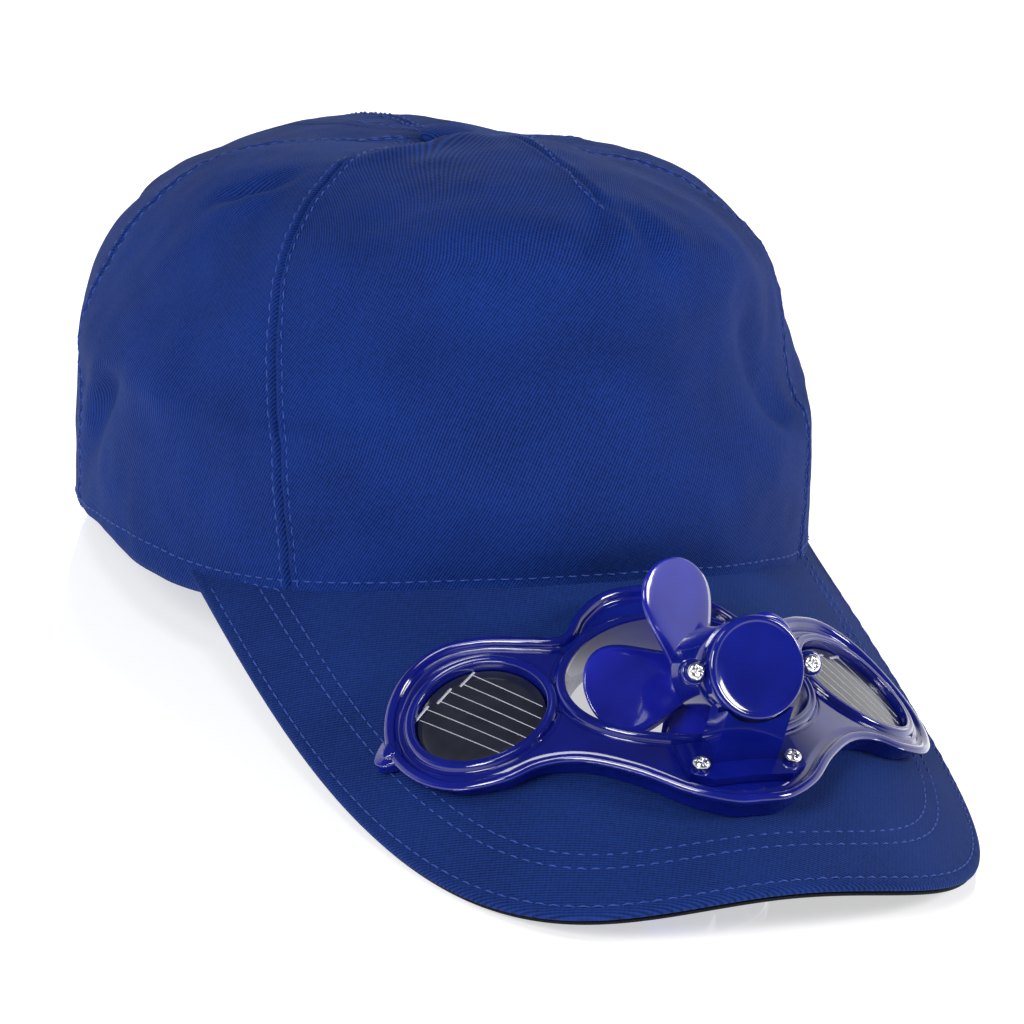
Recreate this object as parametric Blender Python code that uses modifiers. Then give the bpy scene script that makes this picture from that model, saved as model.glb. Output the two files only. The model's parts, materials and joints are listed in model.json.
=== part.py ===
"""A five-panel cloth cap with a solar-driven fan on its peak.

Metres, +Z up. The wearer faces -Y and the wearer's left is +X. The cap rests on the front
corners of its peak and the back of its rim, with the middle of its box over the origin.
"""
import math
from collections import namedtuple

import bmesh
import bpy
from mathutils import Matrix, Vector

# Cloth and fits
CLOTH = 0.0016
CLEARANCE = 0.0003
CUT_OVERRUN = 0.001
SEAM_GAP = 0.0005

# Crown, measured on its outside from the middle of the rim
RIM_HALF_WIDTH = 0.0847
RIM_HALF_LENGTH = 0.0970
CROWN_HEIGHT = 0.0961
APEX_SETBACK = 0.0118
FRONT_SEAM_TURNS = (48.0, 64.0, 65.5)
BACK_SEAM_TURNS = (104.0, 112.0)
BUTTON_RADIUS = 0.0070
BUTTON_HEIGHT = 0.0034
BUTTON_STEM_RADIUS = 0.0028
BUTTON_STEM_LENGTH = 0.0040

# Back opening and its strap
OPENING_HALF_TURN = 25.0
OPENING_RISE = 0.31
STRAP_HALF_TURN = 33.0
STRAP_WIDTH = 0.0155
STRAP_THICKNESS = 0.0015
STRAP_HEIGHT_AT_HEM = 0.0015

# Peak, a flat blank bent over a cylinder that slopes down and forward
PEAK_SLOPE = 19.0
PEAK_BEND_RADIUS = 0.1147
PEAK_LIFT = 0.0232
PEAK_HALF_WIDTH = 0.0801
PEAK_LENGTH = 0.1022
PEAK_END_TURN = 72.5
PEAK_CORNER_POWER = 3.4
PEAK_BOARD = 0.0018
PEAK_UNDERCLOTH = 0.0010
REAR_HEM_TURN = 143.0
HEM_BLEND_TURN = 25.0

# Fan frame, measured on the flat peak: u across, v forward from the rim, h up
FRAME_HALF_LENGTH = 0.0640
FRAME_DEPTH = 0.0720
FRAME_BACK = 0.0100
FRAME_HEIGHT = 0.0070
FRAME_END_DROP = 0.45
FRAME_WALL = 0.0016
FRAME_LIP_WIDTH = 0.0028
FRAME_LIP_HEIGHT = 0.0015
HOLE_CENTRE = 0.0410
HOLE_HALF_WIDTH = 0.0260
HOLE_HALF_DEPTH = 0.0195
SLEEVE_WALL = 0.0015
SLEEVE_DEPTH = 0.0050
CELL_SPACING = 0.0436
CELL_CENTRE = 0.0360
CELL_RADIUS = 0.0134
CELL_THICKNESS = 0.0010
CELL_SINK = 0.0012
CELL_RIM_WIDTH = 0.0020
TAB_LENGTH = 0.0065
TAB_HALF_WIDTH = 0.0045
TAB_HEIGHT = 0.0030
TAB_OUTLINE = [  # out from the frame in lengths, and across in half widths
    (1.00, 0.40), (0.95, 0.00), (0.50, -0.70), (0.00, -1.00), (0.00, 1.00), (0.70, 0.85)]

# Motor on its bracket, and the fan on the motor's shaft
HUB_CENTRE = 0.0415
HUB_HEIGHT = 0.0072
AXIS_RISE = 41.2
HUB_RADIUS = 0.0050
HUB_BACK = 0.0045
HUB_FRONT = 0.0060
FAN_RADIUS = 0.0250
BLADE_COUNT = 4
BLADE_HALF_WIDTH = 0.0103
BLADE_ROOT_SHARE = 0.42
BLADE_TIP_SHARE = 1.32
BLADE_TIP_POWER = 6
BLADE_TIP_FILL = 1.02
BLADE_PITCH = -20.0
BLADE_THICKNESS = 0.0012
BLADE_TURN = 8.0
SHAFT_RADIUS = 0.0010
SHAFT_SEAT = 0.0045
HOUSING_RADIUS = 0.0095
HOUSING_BACK = 0.0090
HOUSING_FRONT = 0.0262
CAP_RADIUS = 0.0108
CAP_FRONT = 0.0312
EAR_RADIUS = 0.0028
EAR_THICKNESS = 0.0024
FLANGE_HALF_WIDTH = 0.0125
FLANGE_BACK = 0.0635
FLANGE_FRONT = 0.0755
FLANGE_THICKNESS = 0.0018
POST_HALF_WIDTH = 0.0075
POST_BACK = 0.0640
POST_FRONT = 0.0705
POST_HEIGHT = 0.0200
SCREW_HEAD_RADIUS = 0.0019
SCREW_HEAD_HEIGHT = 0.0012
SCREW_SHANK_RADIUS = 0.0009
SCREW_SPACING = 0.0098
SCREW_SETBACK = 0.0045

# Fineness of the solids
FRONT_COLUMNS = 18
SIDE_COLUMNS = 10
BACK_COLUMNS = 12
CROWN_ROWS = 16
BEND_STRIP = 0.010

# Half sections of the crown by their turn from the front. Spread is a share of the rim's
# half width and length, height a share of the crown's height above the rim at that turn,
# each at the low, middle, shoulder and top stations.
CrownSection = namedtuple("CrownSection", "turn spread height")
CROWN_SECTIONS = (
    CrownSection(0, (1.04, 0.97, 1.00, 0.44), (0.19, 0.58, 1.03, 1.14)),
    CrownSection(45, (0.99, 0.91, 0.84, 0.46), (0.35, 0.51, 0.87, 1.04)),
    CrownSection(90, (0.98, 0.99, 0.81, 0.55), (0.32, 0.48, 0.80, 0.98)),
    CrownSection(135, (1.05, 1.01, 0.86, 0.50), (0.28, 0.60, 0.80, 0.94)),
    CrownSection(180, (1.03, 1.00, 0.84, 0.51), (0.29, 0.58, 0.84, 0.96)),
)

# Dents and soft folds in the cloth. Turn and rise place the middle, reach is the half size
# in degrees of turn and in rise, and depth is a share of the crown's height, outward if
# it is negative.
Dent = namedtuple("Dent", "turn rise turn_reach rise_reach depth")
CROWN_DENTS = (
    Dent(-4, 0.60, 9, 0.06, 0.022),
    Dent(2, 0.72, 5, 0.05, -0.018),
    Dent(-22, 0.56, 16, 0.05, 0.018),
    Dent(12, 0.52, 8, 0.10, 0.012),
    Dent(-66, 0.60, 12, 0.08, 0.016),
    Dent(-118, 0.30, 10, 0.20, 0.016),
    Dent(84, 0.16, 9, 0.10, 0.026),
    Dent(76, 0.34, 10, 0.10, -0.014),
    Dent(128, 0.40, 12, 0.16, 0.016),
)

# Half outline of the fan frame from the middle of its back edge to the front of its lobe,
# as shares of the frame's half length across and of its depth forward.
FRAME_OUTLINE = (
    (0.00, 0.00), (0.14, 0.02), (0.25, 0.09), (0.33, 0.17), (0.43, 0.14), (0.56, 0.08),
    (0.70, 0.05), (0.84, 0.09), (0.95, 0.20), (1.00, 0.35), (0.96, 0.50), (0.86, 0.61),
    (0.72, 0.66), (0.59, 0.66), (0.47, 0.70), (0.34, 0.80), (0.22, 0.92), (0.10, 0.99),
    (0.00, 1.00),
)

BLUE_CLOTH = (0.010, 0.045, 0.300, 1.0)
BLACK_CLOTH = (0.006, 0.006, 0.008, 1.0)
BLUE_PLASTIC = (0.006, 0.010, 0.330, 1.0)
CELL_DARK = (0.012, 0.014, 0.022, 1.0)
STEEL = (0.750, 0.750, 0.770, 1.0)


def clear_scene():
    """Remove what the open file holds."""
    for item in list(bpy.data.objects):
        bpy.data.objects.remove(item, do_unlink=True)


def new_collection(name):
    """A collection of that name under the scene's own."""
    group = bpy.data.collections.new(name)
    bpy.context.scene.collection.children.link(group)
    return group


def paint(piece, colour, roughness, metallic=0.0):
    """Give a piece its own Principled material."""
    finish = bpy.data.materials.new(piece.name + "_finish")
    finish.use_nodes = True
    shader = finish.node_tree.nodes["Principled BSDF"]
    shader.inputs["Base Color"].default_value = colour
    shader.inputs["Roughness"].default_value = roughness
    shader.inputs["Metallic"].default_value = metallic
    piece.data.materials.clear()
    piece.data.materials.append(finish)


def empty(name, parent, location=(0, 0, 0), rotation=(0, 0, 0)):
    """An empty that carries other pieces."""
    holder = bpy.data.objects.new(name, None)
    PARTS.objects.link(holder)
    holder.parent = parent
    holder.location = location
    holder.rotation_euler = rotation
    return holder


def mesh_object(name, shape, group, parent=None):
    """Turn a bmesh into an object."""
    mesh = bpy.data.meshes.new(name)
    shape.to_mesh(mesh)
    shape.free()
    piece = bpy.data.objects.new(name, mesh)
    group.objects.link(piece)
    piece.parent = parent
    return piece


def smooth_between(values, place):
    """A smooth curve through evenly spaced values, read at place from 0 to 1."""
    spans = len(values) - 1
    span = min(int(place * spans), spans - 1)
    share = place * spans - span
    before = values[span - 1] if span > 0 else 2 * values[0] - values[1]
    after = values[span + 2] if span + 2 <= spans else 2 * values[-1] - values[-2]
    start, end = values[span], values[span + 1]
    bend = 2 * before - 5 * start + 4 * end - after
    twist = -before + 3 * start - 3 * end + after
    return start + 0.5 * share * (end - before + share * (bend + share * twist))


def ease(share):
    """A step from 0 to 1 that starts and ends level."""
    share = min(max(share, 0.0), 1.0)
    return share * share * (3 - 2 * share)


def around(values, turn):
    """Blend one value for each crown section round the head, alike on both sides."""
    folded = abs((turn + 180) % 360 - 180) / 180
    mirrored = [values[1]] + list(values) + [values[-2]]
    spans = len(values) - 1
    return smooth_between(mirrored, (folded * spans + 1) / (spans + 2))


def peak_line(turn, grow=0.0):
    """Where the rim meets the peak's upper face: across, forward on the blank, and height."""
    angle = math.radians(turn)
    slope = math.radians(PEAK_SLOPE)
    across = (RIM_HALF_WIDTH + grow) * math.sin(angle)
    back = -(RIM_HALF_LENGTH + grow) * math.cos(angle)
    droop = math.sqrt(PEAK_BEND_RADIUS**2 - across**2) - PEAK_BEND_RADIUS
    forward = (-RIM_HALF_LENGTH - back - droop * math.sin(slope)) / math.cos(slope)
    height = PEAK_LIFT - forward * math.sin(slope) + droop * math.cos(slope)
    return PEAK_BEND_RADIUS * math.asin(across / PEAK_BEND_RADIUS), forward, height


def rim_height(turn):
    """Height of the seam line: on the peak in front, easing down to the back of the rim."""
    turn = abs((turn + 180) % 360 - 180)
    if turn <= PEAK_END_TURN:
        return peak_line(turn)[2]
    settle = ease((turn - PEAK_END_TURN) / (REAR_HEM_TURN - PEAK_END_TURN))
    return peak_line(PEAK_END_TURN)[2] * (1 - settle)


def hem_drop(turn):
    """How far the crown's hem reaches below the seam line, to cover the peak's thickness."""
    turn = abs((turn + 180) % 360 - 180)
    tilt = peak_line(min(turn, PEAK_END_TURN))[0] / PEAK_BEND_RADIUS
    slope = math.radians(PEAK_SLOPE)
    depth = (PEAK_BOARD + PEAK_UNDERCLOTH + CLEARANCE) / (math.cos(tilt) * math.cos(slope))
    return depth * (1 - ease((turn - PEAK_END_TURN) / HEM_BLEND_TURN))


def dent_depth(turn, rise):
    """How far the cloth is pressed in at a place on the crown."""
    depth = 0.0
    for dent in CROWN_DENTS:
        off_turn = ((turn - dent.turn + 180) % 360 - 180) / dent.turn_reach
        off_rise = (rise - dent.rise) / dent.rise_reach
        depth += dent.depth * math.exp(-off_turn**2 - off_rise**2)
    return depth * CROWN_HEIGHT


def crown_point(turn, rise, inset=0.0):
    """A point of the crown's outer face: turn in degrees from the front, rise from 0 to 1."""
    angle = math.radians(turn)
    spreads = [around([s.spread[i] for s in CROWN_SECTIONS], turn) for i in range(4)]
    heights = [around([s.height[i] for s in CROWN_SECTIONS], turn) for i in range(4)]
    spread = smooth_between([1.0] + spreads + [0.0], rise)
    height = smooth_between([0.0] + heights + [1.0], rise)
    press = (dent_depth(turn, rise) + inset) * (1 - ease((rise - 0.8) / 0.15))
    base = rim_height(turn)
    x = (RIM_HALF_WIDTH * spread - press) * math.sin(angle)
    y = -(RIM_HALF_LENGTH * spread - press) * math.cos(angle) + APEX_SETBACK * rise**2
    z = base + height * (CROWN_HEIGHT - base)
    off_apex = math.hypot(x, y - APEX_SETBACK)
    settle = ease((off_apex - BUTTON_RADIUS) / (2 * BUTTON_RADIUS))
    return Vector((x, y, CROWN_HEIGHT + (z - CROWN_HEIGHT) * settle))


def button_hole_rise(turn):
    """The rise at which the panels stop round the button's stem."""
    low, high = 0.8, 1.0
    for _ in range(20):
        middle = (low + high) / 2
        point = crown_point(turn, middle)
        reach = math.hypot(point.x, point.y - APEX_SETBACK)
        if reach > BUTTON_STEM_RADIUS + 2 * CLEARANCE:
            low = middle
        else:
            high = middle
    return low


def rise_at(turn, height):
    """The rise at which the crown reaches a height, low on its back."""
    low, high = 0.0, 0.5
    for _ in range(20):
        middle = (low + high) / 2
        if crown_point(turn, middle).z < height:
            low = middle
        else:
            high = middle
    return low


def front_seam(rise):
    """Turn of the seam between the front panel and a side panel."""
    start, lean, end = FRONT_SEAM_TURNS
    return start + (lean - start) * rise + (end - lean) * rise**3


def back_seam(rise):
    """Turn of the seam between a side panel and a back panel."""
    start, end = BACK_SEAM_TURNS
    return start + (end - start) * rise


def opening_rise(turn):
    """Rise of the arched back opening's edge at a turn."""
    share = (180 - abs(turn)) / OPENING_HALF_TURN
    return OPENING_RISE * math.sqrt(max(0.0, 1 - share * share))


def cloth_panel(name, columns, from_turn, to_turn, start_rise=None):
    """One crown panel: a grid laid on the crown between two seams, then made thick."""
    shape = bmesh.new()
    bmesh.ops.create_grid(shape, x_segments=columns, y_segments=CROWN_ROWS, size=0.5)
    for vertex in shape.verts:
        across, row = vertex.co.x + 0.5, (vertex.co.y + 0.5) * CROWN_ROWS
        climb = math.sin(max(0.0, row - 1) / (CROWN_ROWS - 1) * math.pi / 2)
        first, last = from_turn(climb), to_turn(climb)
        foot = start_rise(first + (last - first) * across) if start_rise else 0.0
        rise = foot + (button_hole_rise(first + (last - first) * across) - foot) * climb
        first, last = from_turn(rise), to_turn(rise)
        turn = first + (last - first) * across
        point = crown_point(turn, rise)
        reach = max(math.hypot(point.x, point.y - APEX_SETBACK), BUTTON_STEM_RADIUS)
        shift = math.degrees(SEAM_GAP / 2 / reach)
        point = crown_point(turn + shift * (1 - 2 * across), rise)
        if row < 0.5:
            point.z -= hem_drop(turn) if foot == 0.0 else 0.0
        vertex.co = point
    if start_rise:
        bmesh.ops.remove_doubles(shape, verts=shape.verts, dist=1e-6)
    piece = mesh_object(name, shape, PARTS, CAP)
    wall = piece.modifiers.new("cloth", "SOLIDIFY")
    wall.thickness = CLOTH
    wall.offset = -1
    paint(piece, BLUE_CLOTH, 0.85)
    piece.data.shade_smooth()
    return piece


def make_crown():
    """The front panel, two side panels and two back panels."""
    cloth_panel("front_panel", FRONT_COLUMNS, lambda r: -front_seam(r), front_seam)
    cloth_panel("side_panel_left", SIDE_COLUMNS, front_seam, back_seam)
    cloth_panel("side_panel_right", SIDE_COLUMNS, lambda r: -back_seam(r),
                lambda r: -front_seam(r))
    cloth_panel("back_panel_left", BACK_COLUMNS, back_seam, lambda r: 180.0, opening_rise)
    cloth_panel("back_panel_right", BACK_COLUMNS, lambda r: -180.0,
                lambda r: -back_seam(r), opening_rise)


def turned(name, profile, steps, parent):
    """A turned piece: a profile from its top axis point to its bottom one, spun round Z."""
    shape = bmesh.new()
    points = [shape.verts.new((radius, 0, height)) for radius, height in profile]
    for start, end in zip(points, points[1:]):
        shape.edges.new((start, end))
    piece = mesh_object(name, shape, PARTS, parent)
    spin = piece.modifiers.new("turned", "SCREW")
    spin.steps = steps
    spin.render_steps = steps
    spin.use_merge_vertices = True
    spin.merge_threshold = 0.00001
    spin.use_normal_calculate = False
    return piece


def make_button():
    """The cloth-covered button over the point where the panels meet."""
    profile = [(0, BUTTON_HEIGHT + CLEARANCE)]
    for step in range(1, 6):
        angle = math.radians(90 - 18 * step)
        profile.append((BUTTON_RADIUS * math.cos(angle),
                        CLEARANCE + BUTTON_HEIGHT * (0.3 + 0.7 * math.sin(angle))))
    profile += [(BUTTON_RADIUS * 0.96, CLEARANCE), (BUTTON_STEM_RADIUS, CLEARANCE),
                (BUTTON_STEM_RADIUS, CLEARANCE - BUTTON_STEM_LENGTH),
                (0, CLEARANCE - BUTTON_STEM_LENGTH)]
    piece = turned("top_button", profile, 16, CAP)
    piece.location = (0, APEX_SETBACK, CROWN_HEIGHT)
    paint(piece, BLUE_CLOTH, 0.85)


def make_strap():
    """The plain adjusting strap across the back opening, inside the panels."""
    shape = bmesh.new()
    bmesh.ops.create_grid(shape, x_segments=18, y_segments=2, size=0.5)
    inset = CLOTH + 6 * CLEARANCE
    for vertex in shape.verts:
        turn = 180 + 2 * STRAP_HALF_TURN * vertex.co.x
        height = STRAP_HEIGHT_AT_HEM + STRAP_WIDTH * (vertex.co.y + 0.5)
        point = crown_point(turn, rise_at(turn, height), inset)
        point.z = height
        vertex.co = point
    piece = mesh_object("back_strap", shape, PARTS, CAP)
    wall = piece.modifiers.new("webbing", "SOLIDIFY")
    wall.thickness = STRAP_THICKNESS
    wall.offset = -1
    paint(piece, BLUE_CLOTH, 0.85)


def slab(name, loops, low, high):
    """A flat blank: closed outlines in u and v, filled between them, from low to high."""
    curve = bpy.data.curves.new(name, "CURVE")
    curve.dimensions = "2D"
    curve.fill_mode = "BOTH"
    curve.extrude = (high - low) / 2
    for loop in loops:
        spline = curve.splines.new("POLY")
        spline.points.add(len(loop) - 1)
        spline.use_cyclic_u = True
        for point, (u, v) in zip(spline.points, loop):
            point.co = (u, -v, 0, 1)
    outline = bpy.data.objects.new(name + "_outline", curve)
    CUTTERS.objects.link(outline)
    outline.location.z = (low + high) / 2
    bpy.context.view_layer.update()
    evaluated = outline.evaluated_get(bpy.context.evaluated_depsgraph_get())
    mesh = bpy.data.meshes.new_from_object(evaluated)
    shape = bmesh.new()
    shape.from_mesh(mesh)
    shape.transform(outline.matrix_world)
    bmesh.ops.remove_doubles(shape, verts=shape.verts, dist=1e-6)
    bmesh.ops.recalc_face_normals(shape, faces=shape.faces)
    bpy.data.objects.remove(outline, do_unlink=True)
    bpy.data.meshes.remove(mesh)
    piece = mesh_object(name, shape, CUTTERS)
    piece.hide_render = True
    piece.display_type = "WIRE"
    return piece


def cut(piece, tool, operation="DIFFERENCE"):
    """Cut a piece with a tool, or join them, and keep the result as the piece's mesh."""
    change = piece.modifiers.new("cut", "BOOLEAN")
    change.operation = operation
    change.solver = "EXACT"
    change.object = tool
    bpy.context.view_layer.update()
    evaluated = piece.evaluated_get(bpy.context.evaluated_depsgraph_get())
    mesh = bpy.data.meshes.new_from_object(evaluated)
    piece.modifiers.clear()
    piece.data = mesh


def as_part(piece, name, parent):
    """Move a finished blank from the cutters to the parts."""
    CUTTERS.objects.unlink(piece)
    PARTS.objects.link(piece)
    piece.name = name
    piece.data.name = name
    piece.parent = parent
    piece.hide_render = False
    piece.display_type = "TEXTURED"
    return piece


def bend_over_peak(piece, seat=0.0, arched=False):
    """Bend a flat piece over the peak: split it in strips, then wrap it round the cylinder."""
    shape = bmesh.new()
    shape.from_mesh(piece.data)
    bmesh.ops.dissolve_limit(shape, angle_limit=0.01, verts=shape.verts, edges=shape.edges)
    reach = max(abs(vertex.co.x) for vertex in shape.verts)
    strips = int(reach / BEND_STRIP)
    for strip in range(-strips, strips + 1):
        everything = shape.verts[:] + shape.edges[:] + shape.faces[:]
        bmesh.ops.bisect_plane(shape, geom=everything, dist=1e-7,
                               plane_co=(strip * BEND_STRIP, 0, 0), plane_no=(1, 0, 0))
    bmesh.ops.triangulate(shape, faces=shape.faces)
    for vertex in shape.verts:
        u, y, h = vertex.co
        if arched and h > 0:
            h *= 1 - FRAME_END_DROP * (u / FRAME_HALF_LENGTH) ** 2
        radius = PEAK_BEND_RADIUS + h + seat
        angle = u / PEAK_BEND_RADIUS
        vertex.co = (radius * math.sin(angle), y, radius * math.cos(angle) - PEAK_BEND_RADIUS)
    bmesh.ops.remove_doubles(shape, verts=shape.verts, dist=1e-6)
    shape.to_mesh(piece.data)
    shape.free()


def peak_outline():
    """The peak's flat outline: along the inside of the rim, then round its front corners."""
    grow = -2 * CLOTH
    corner_u, corner_v, _ = peak_line(PEAK_END_TURN, grow)
    rim_steps, front_steps = 12, 48
    loop = []
    for step in range(rim_steps):
        turn = -PEAK_END_TURN + 2 * PEAK_END_TURN * step / rim_steps
        loop.append(peak_line(turn, grow)[:2])
    power = 2 / PEAK_CORNER_POWER
    for step in range(front_steps):
        angle = math.radians(90 - 180 * step / front_steps)
        side = math.copysign(abs(math.sin(angle)) ** power, math.sin(angle))
        reach = max(math.cos(angle), 0.0) ** power
        narrowing = (1 - reach) * (1 - corner_u / PEAK_HALF_WIDTH)
        loop.append((PEAK_HALF_WIDTH * side * (1 - narrowing),
                     corner_v + (PEAK_LENGTH - corner_v) * reach))
    return loop


def ellipse(half_width, half_depth, centre_u, centre_v, steps):
    """Points round an ellipse on the blank."""
    loop = []
    for step in range(steps):
        angle = 2 * math.pi * step / steps
        loop.append((centre_u + half_width * math.cos(angle),
                     centre_v + half_depth * math.sin(angle)))
    return loop


def rim_cutter():
    """An upright oval that trims the peak's back edge just clear of the crown."""
    shape = bmesh.new()
    bmesh.ops.create_cone(shape, cap_ends=True, segments=96, radius1=1, radius2=1, depth=1)
    bmesh.ops.scale(shape, verts=shape.verts, vec=(
        RIM_HALF_WIDTH + CLEARANCE, RIM_HALF_LENGTH + CLEARANCE, 2 * CROWN_HEIGHT))
    tool = mesh_object("rim_cut", shape, CUTTERS, CAP)
    tool.hide_render = True
    tool.display_type = "WIRE"
    return tool


def make_peak():
    """The peak's stiff blue cover and its black under-cloth, both cut for the fan's sleeve."""
    rim = rim_cutter()
    grow = SLEEVE_WALL + CLEARANCE
    hole = ellipse(HOLE_HALF_WIDTH + grow, HOLE_HALF_DEPTH + grow, 0, HOLE_CENTRE, 32)
    cover = slab("peak_top_blank", [peak_outline(), hole], -PEAK_BOARD, 0)
    bend_over_peak(cover)
    as_part(cover, "peak_top", PEAK)
    cut(cover, rim)
    paint(cover, BLUE_CLOTH, 0.85)
    low = -PEAK_BOARD - CLEARANCE - PEAK_UNDERCLOTH
    under = slab("peak_underside_blank", [peak_outline(), hole], low, low + PEAK_UNDERCLOTH)
    bend_over_peak(under)
    as_part(under, "peak_underside", PEAK)
    cut(under, rim)
    paint(under, BLACK_CLOTH, 0.9)


def frame_outline(inset=0.0, steps=3):
    """The fan frame's closed outline, a smooth curve through its half outline and mirror."""
    half = [(u * FRAME_HALF_LENGTH, FRAME_BACK + v * FRAME_DEPTH) for u, v in FRAME_OUTLINE]
    whole = half + [(-u, v) for u, v in half[-2:0:-1]]
    count = len(whole)
    loop = []
    for index in range(count):
        near = [whole[(index + offset) % count] for offset in (-1, 0, 1, 2)]
        for step in range(steps):
            place = (1 + step / steps) / 3
            loop.append(tuple(smooth_between([p[axis] for p in near], place)
                              for axis in (0, 1)))
    if not inset:
        return loop
    moved = []
    for index, (u, v) in enumerate(loop):
        before, after = loop[index - 1], loop[(index + 1) % len(loop)]
        along = Vector((after[0] - before[0], after[1] - before[1])).normalized()
        moved.append((u - along.y * inset, v + along.x * inset))
    return moved


def cell_circle(side, radius, steps=24):
    """A circle round one solar cell."""
    return ellipse(radius, radius, side * CELL_SPACING, CELL_CENTRE, steps)


def hole_ring(grow, steps=28):
    """The fan hole's outline, grown outward."""
    return ellipse(HOLE_HALF_WIDTH + grow, HOLE_HALF_DEPTH + grow, 0, HOLE_CENTRE, steps)


def make_frame():
    """The blue frame: a hollow plate with raised lips, two cell seats and the fan's sleeve."""
    web_top = FRAME_HEIGHT - FRAME_LIP_HEIGHT
    web_low = web_top - FRAME_WALL
    cell_floor = web_top - CELL_SINK - CELL_THICKNESS - 2 * CLEARANCE
    frame = slab("frame_blank", [frame_outline()], -SLEEVE_DEPTH, FRAME_HEIGHT)
    bed = ellipse(2 * FRAME_HALF_LENGTH, 2 * FRAME_DEPTH, 0, HOLE_CENTRE, 8)
    cuts = [
        slab("bed_cut", [bed, hole_ring(SLEEVE_WALL)], -SLEEVE_DEPTH - CUT_OVERRUN, 0),
        slab("hole_cut", [hole_ring(0)], -SLEEVE_DEPTH - CUT_OVERRUN, FRAME_HEIGHT + CUT_OVERRUN),
        slab("recess_cut", [frame_outline(FRAME_LIP_WIDTH, 2), hole_ring(FRAME_LIP_WIDTH),
                            cell_circle(1, CELL_RADIUS + CELL_RIM_WIDTH),
                            cell_circle(-1, CELL_RADIUS + CELL_RIM_WIDTH)],
             web_top, FRAME_HEIGHT + CUT_OVERRUN),
        slab("tray_cut", [frame_outline(FRAME_WALL, 2), hole_ring(SLEEVE_WALL),
                          cell_circle(1, CELL_RADIUS + CELL_RIM_WIDTH),
                          cell_circle(-1, CELL_RADIUS + CELL_RIM_WIDTH)],
             -CUT_OVERRUN, web_low),
    ]
    for side in (-1, 1):
        bore = cell_circle(side, CELL_RADIUS + CLEARANCE)
        cuts.append(slab("cell_cut", [bore], cell_floor, FRAME_HEIGHT + CUT_OVERRUN))
    for tool in cuts:
        cut(frame, tool)
    bend_over_peak(frame, CLEARANCE, arched=True)
    paint(as_part(frame, "fan_frame", PEAK), BLUE_PLASTIC, 0.12)
    for side, name in ((1, "solar_cell_left"), (-1, "solar_cell_right")):
        low = cell_floor + CLEARANCE
        cell = slab(name + "_blank", [cell_circle(side, CELL_RADIUS)], low,
                    low + CELL_THICKNESS)
        bend_over_peak(cell, CLEARANCE, arched=True)
        paint(as_part(cell, name, PEAK), CELL_DARK, 0.15)


def make_tab():
    """The small pointed tab at the frame's right-hand end."""
    edge = -FRAME_HALF_LENGTH - CLEARANCE
    middle = CELL_CENTRE + TAB_HALF_WIDTH / 2
    loop = [(edge - out * TAB_LENGTH, middle + across * TAB_HALF_WIDTH)
            for out, across in TAB_OUTLINE]
    tab = slab("tab_blank", [loop], CLEARANCE, CLEARANCE + TAB_HEIGHT)
    bend_over_peak(tab)
    paint(as_part(tab, "end_tab", PEAK), BLUE_PLASTIC, 0.15)


def rod(name, radius, low, high, parent, group, steps=24, centre=(0, 0)):
    """A plain cylinder along its parent's Z, from low to high."""
    shape = bmesh.new()
    bmesh.ops.create_cone(shape, cap_ends=True, segments=steps, radius1=radius,
                          radius2=radius, depth=high - low)
    bmesh.ops.translate(shape, verts=shape.verts,
                        vec=(centre[0], centre[1], (low + high) / 2))
    return mesh_object(name, shape, group, parent)


def cutter_rod(*place, **options):
    """A cylinder that only cuts."""
    tool = rod(*place, **options)
    tool.hide_render = True
    tool.display_type = "WIRE"
    return tool


def make_housing():
    """The motor's round shell with its cap, whose two ears take the screws."""
    housing = rod("motor_housing", HOUSING_RADIUS, HOUSING_BACK, HOUSING_FRONT, MOTOR, PARTS)
    bore = cutter_rod("shaft_bore", SHAFT_RADIUS + CLEARANCE, HOUSING_BACK - CUT_OVERRUN,
                      HOUSING_BACK + SHAFT_SEAT, MOTOR, CUTTERS, steps=12)
    cut(housing, bore)
    paint(housing, BLUE_PLASTIC, 0.15)
    cap_back = HOUSING_FRONT + CLEARANCE
    ear_reach = CAP_RADIUS + SCREW_HEAD_RADIUS + 2 * CLEARANCE
    cap = rod("motor_cap", CAP_RADIUS, cap_back, CAP_FRONT, MOTOR, PARTS, steps=32)
    for side in (-1, 1):
        ear = cutter_rod("ear", EAR_RADIUS, cap_back, cap_back + EAR_THICKNESS, MOTOR,
                         CUTTERS, steps=16, centre=(side * ear_reach, 0))
        cut(cap, ear, "UNION")
        hole = cutter_rod("ear_hole", SCREW_SHANK_RADIUS + CLEARANCE, cap_back - CUT_OVERRUN,
                          cap_back + EAR_THICKNESS + CUT_OVERRUN, MOTOR, CUTTERS, steps=10,
                          centre=(side * ear_reach, 0))
        cut(cap, hole)
    paint(cap, BLUE_PLASTIC, 0.12)
    for side, name in ((1, "cap_screw_left"), (-1, "cap_screw_right")):
        screw(name, MOTOR, (side * ear_reach, 0, cap_back + EAR_THICKNESS + CLEARANCE),
              EAR_THICKNESS)


def screw(name, parent, seat, length):
    """A steel screw: a domed head on its seat and a shank down its hole."""
    profile = [(0, SCREW_HEAD_HEIGHT), (0.6 * SCREW_HEAD_RADIUS, 0.9 * SCREW_HEAD_HEIGHT),
               (SCREW_HEAD_RADIUS, 0.4 * SCREW_HEAD_HEIGHT), (SCREW_HEAD_RADIUS, 0),
               (SCREW_SHANK_RADIUS, 0), (SCREW_SHANK_RADIUS, -length), (0, -length)]
    piece = turned(name, profile, 12, parent)
    piece.location = seat
    paint(piece, STEEL, 0.2, 1.0)
    return piece


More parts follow.
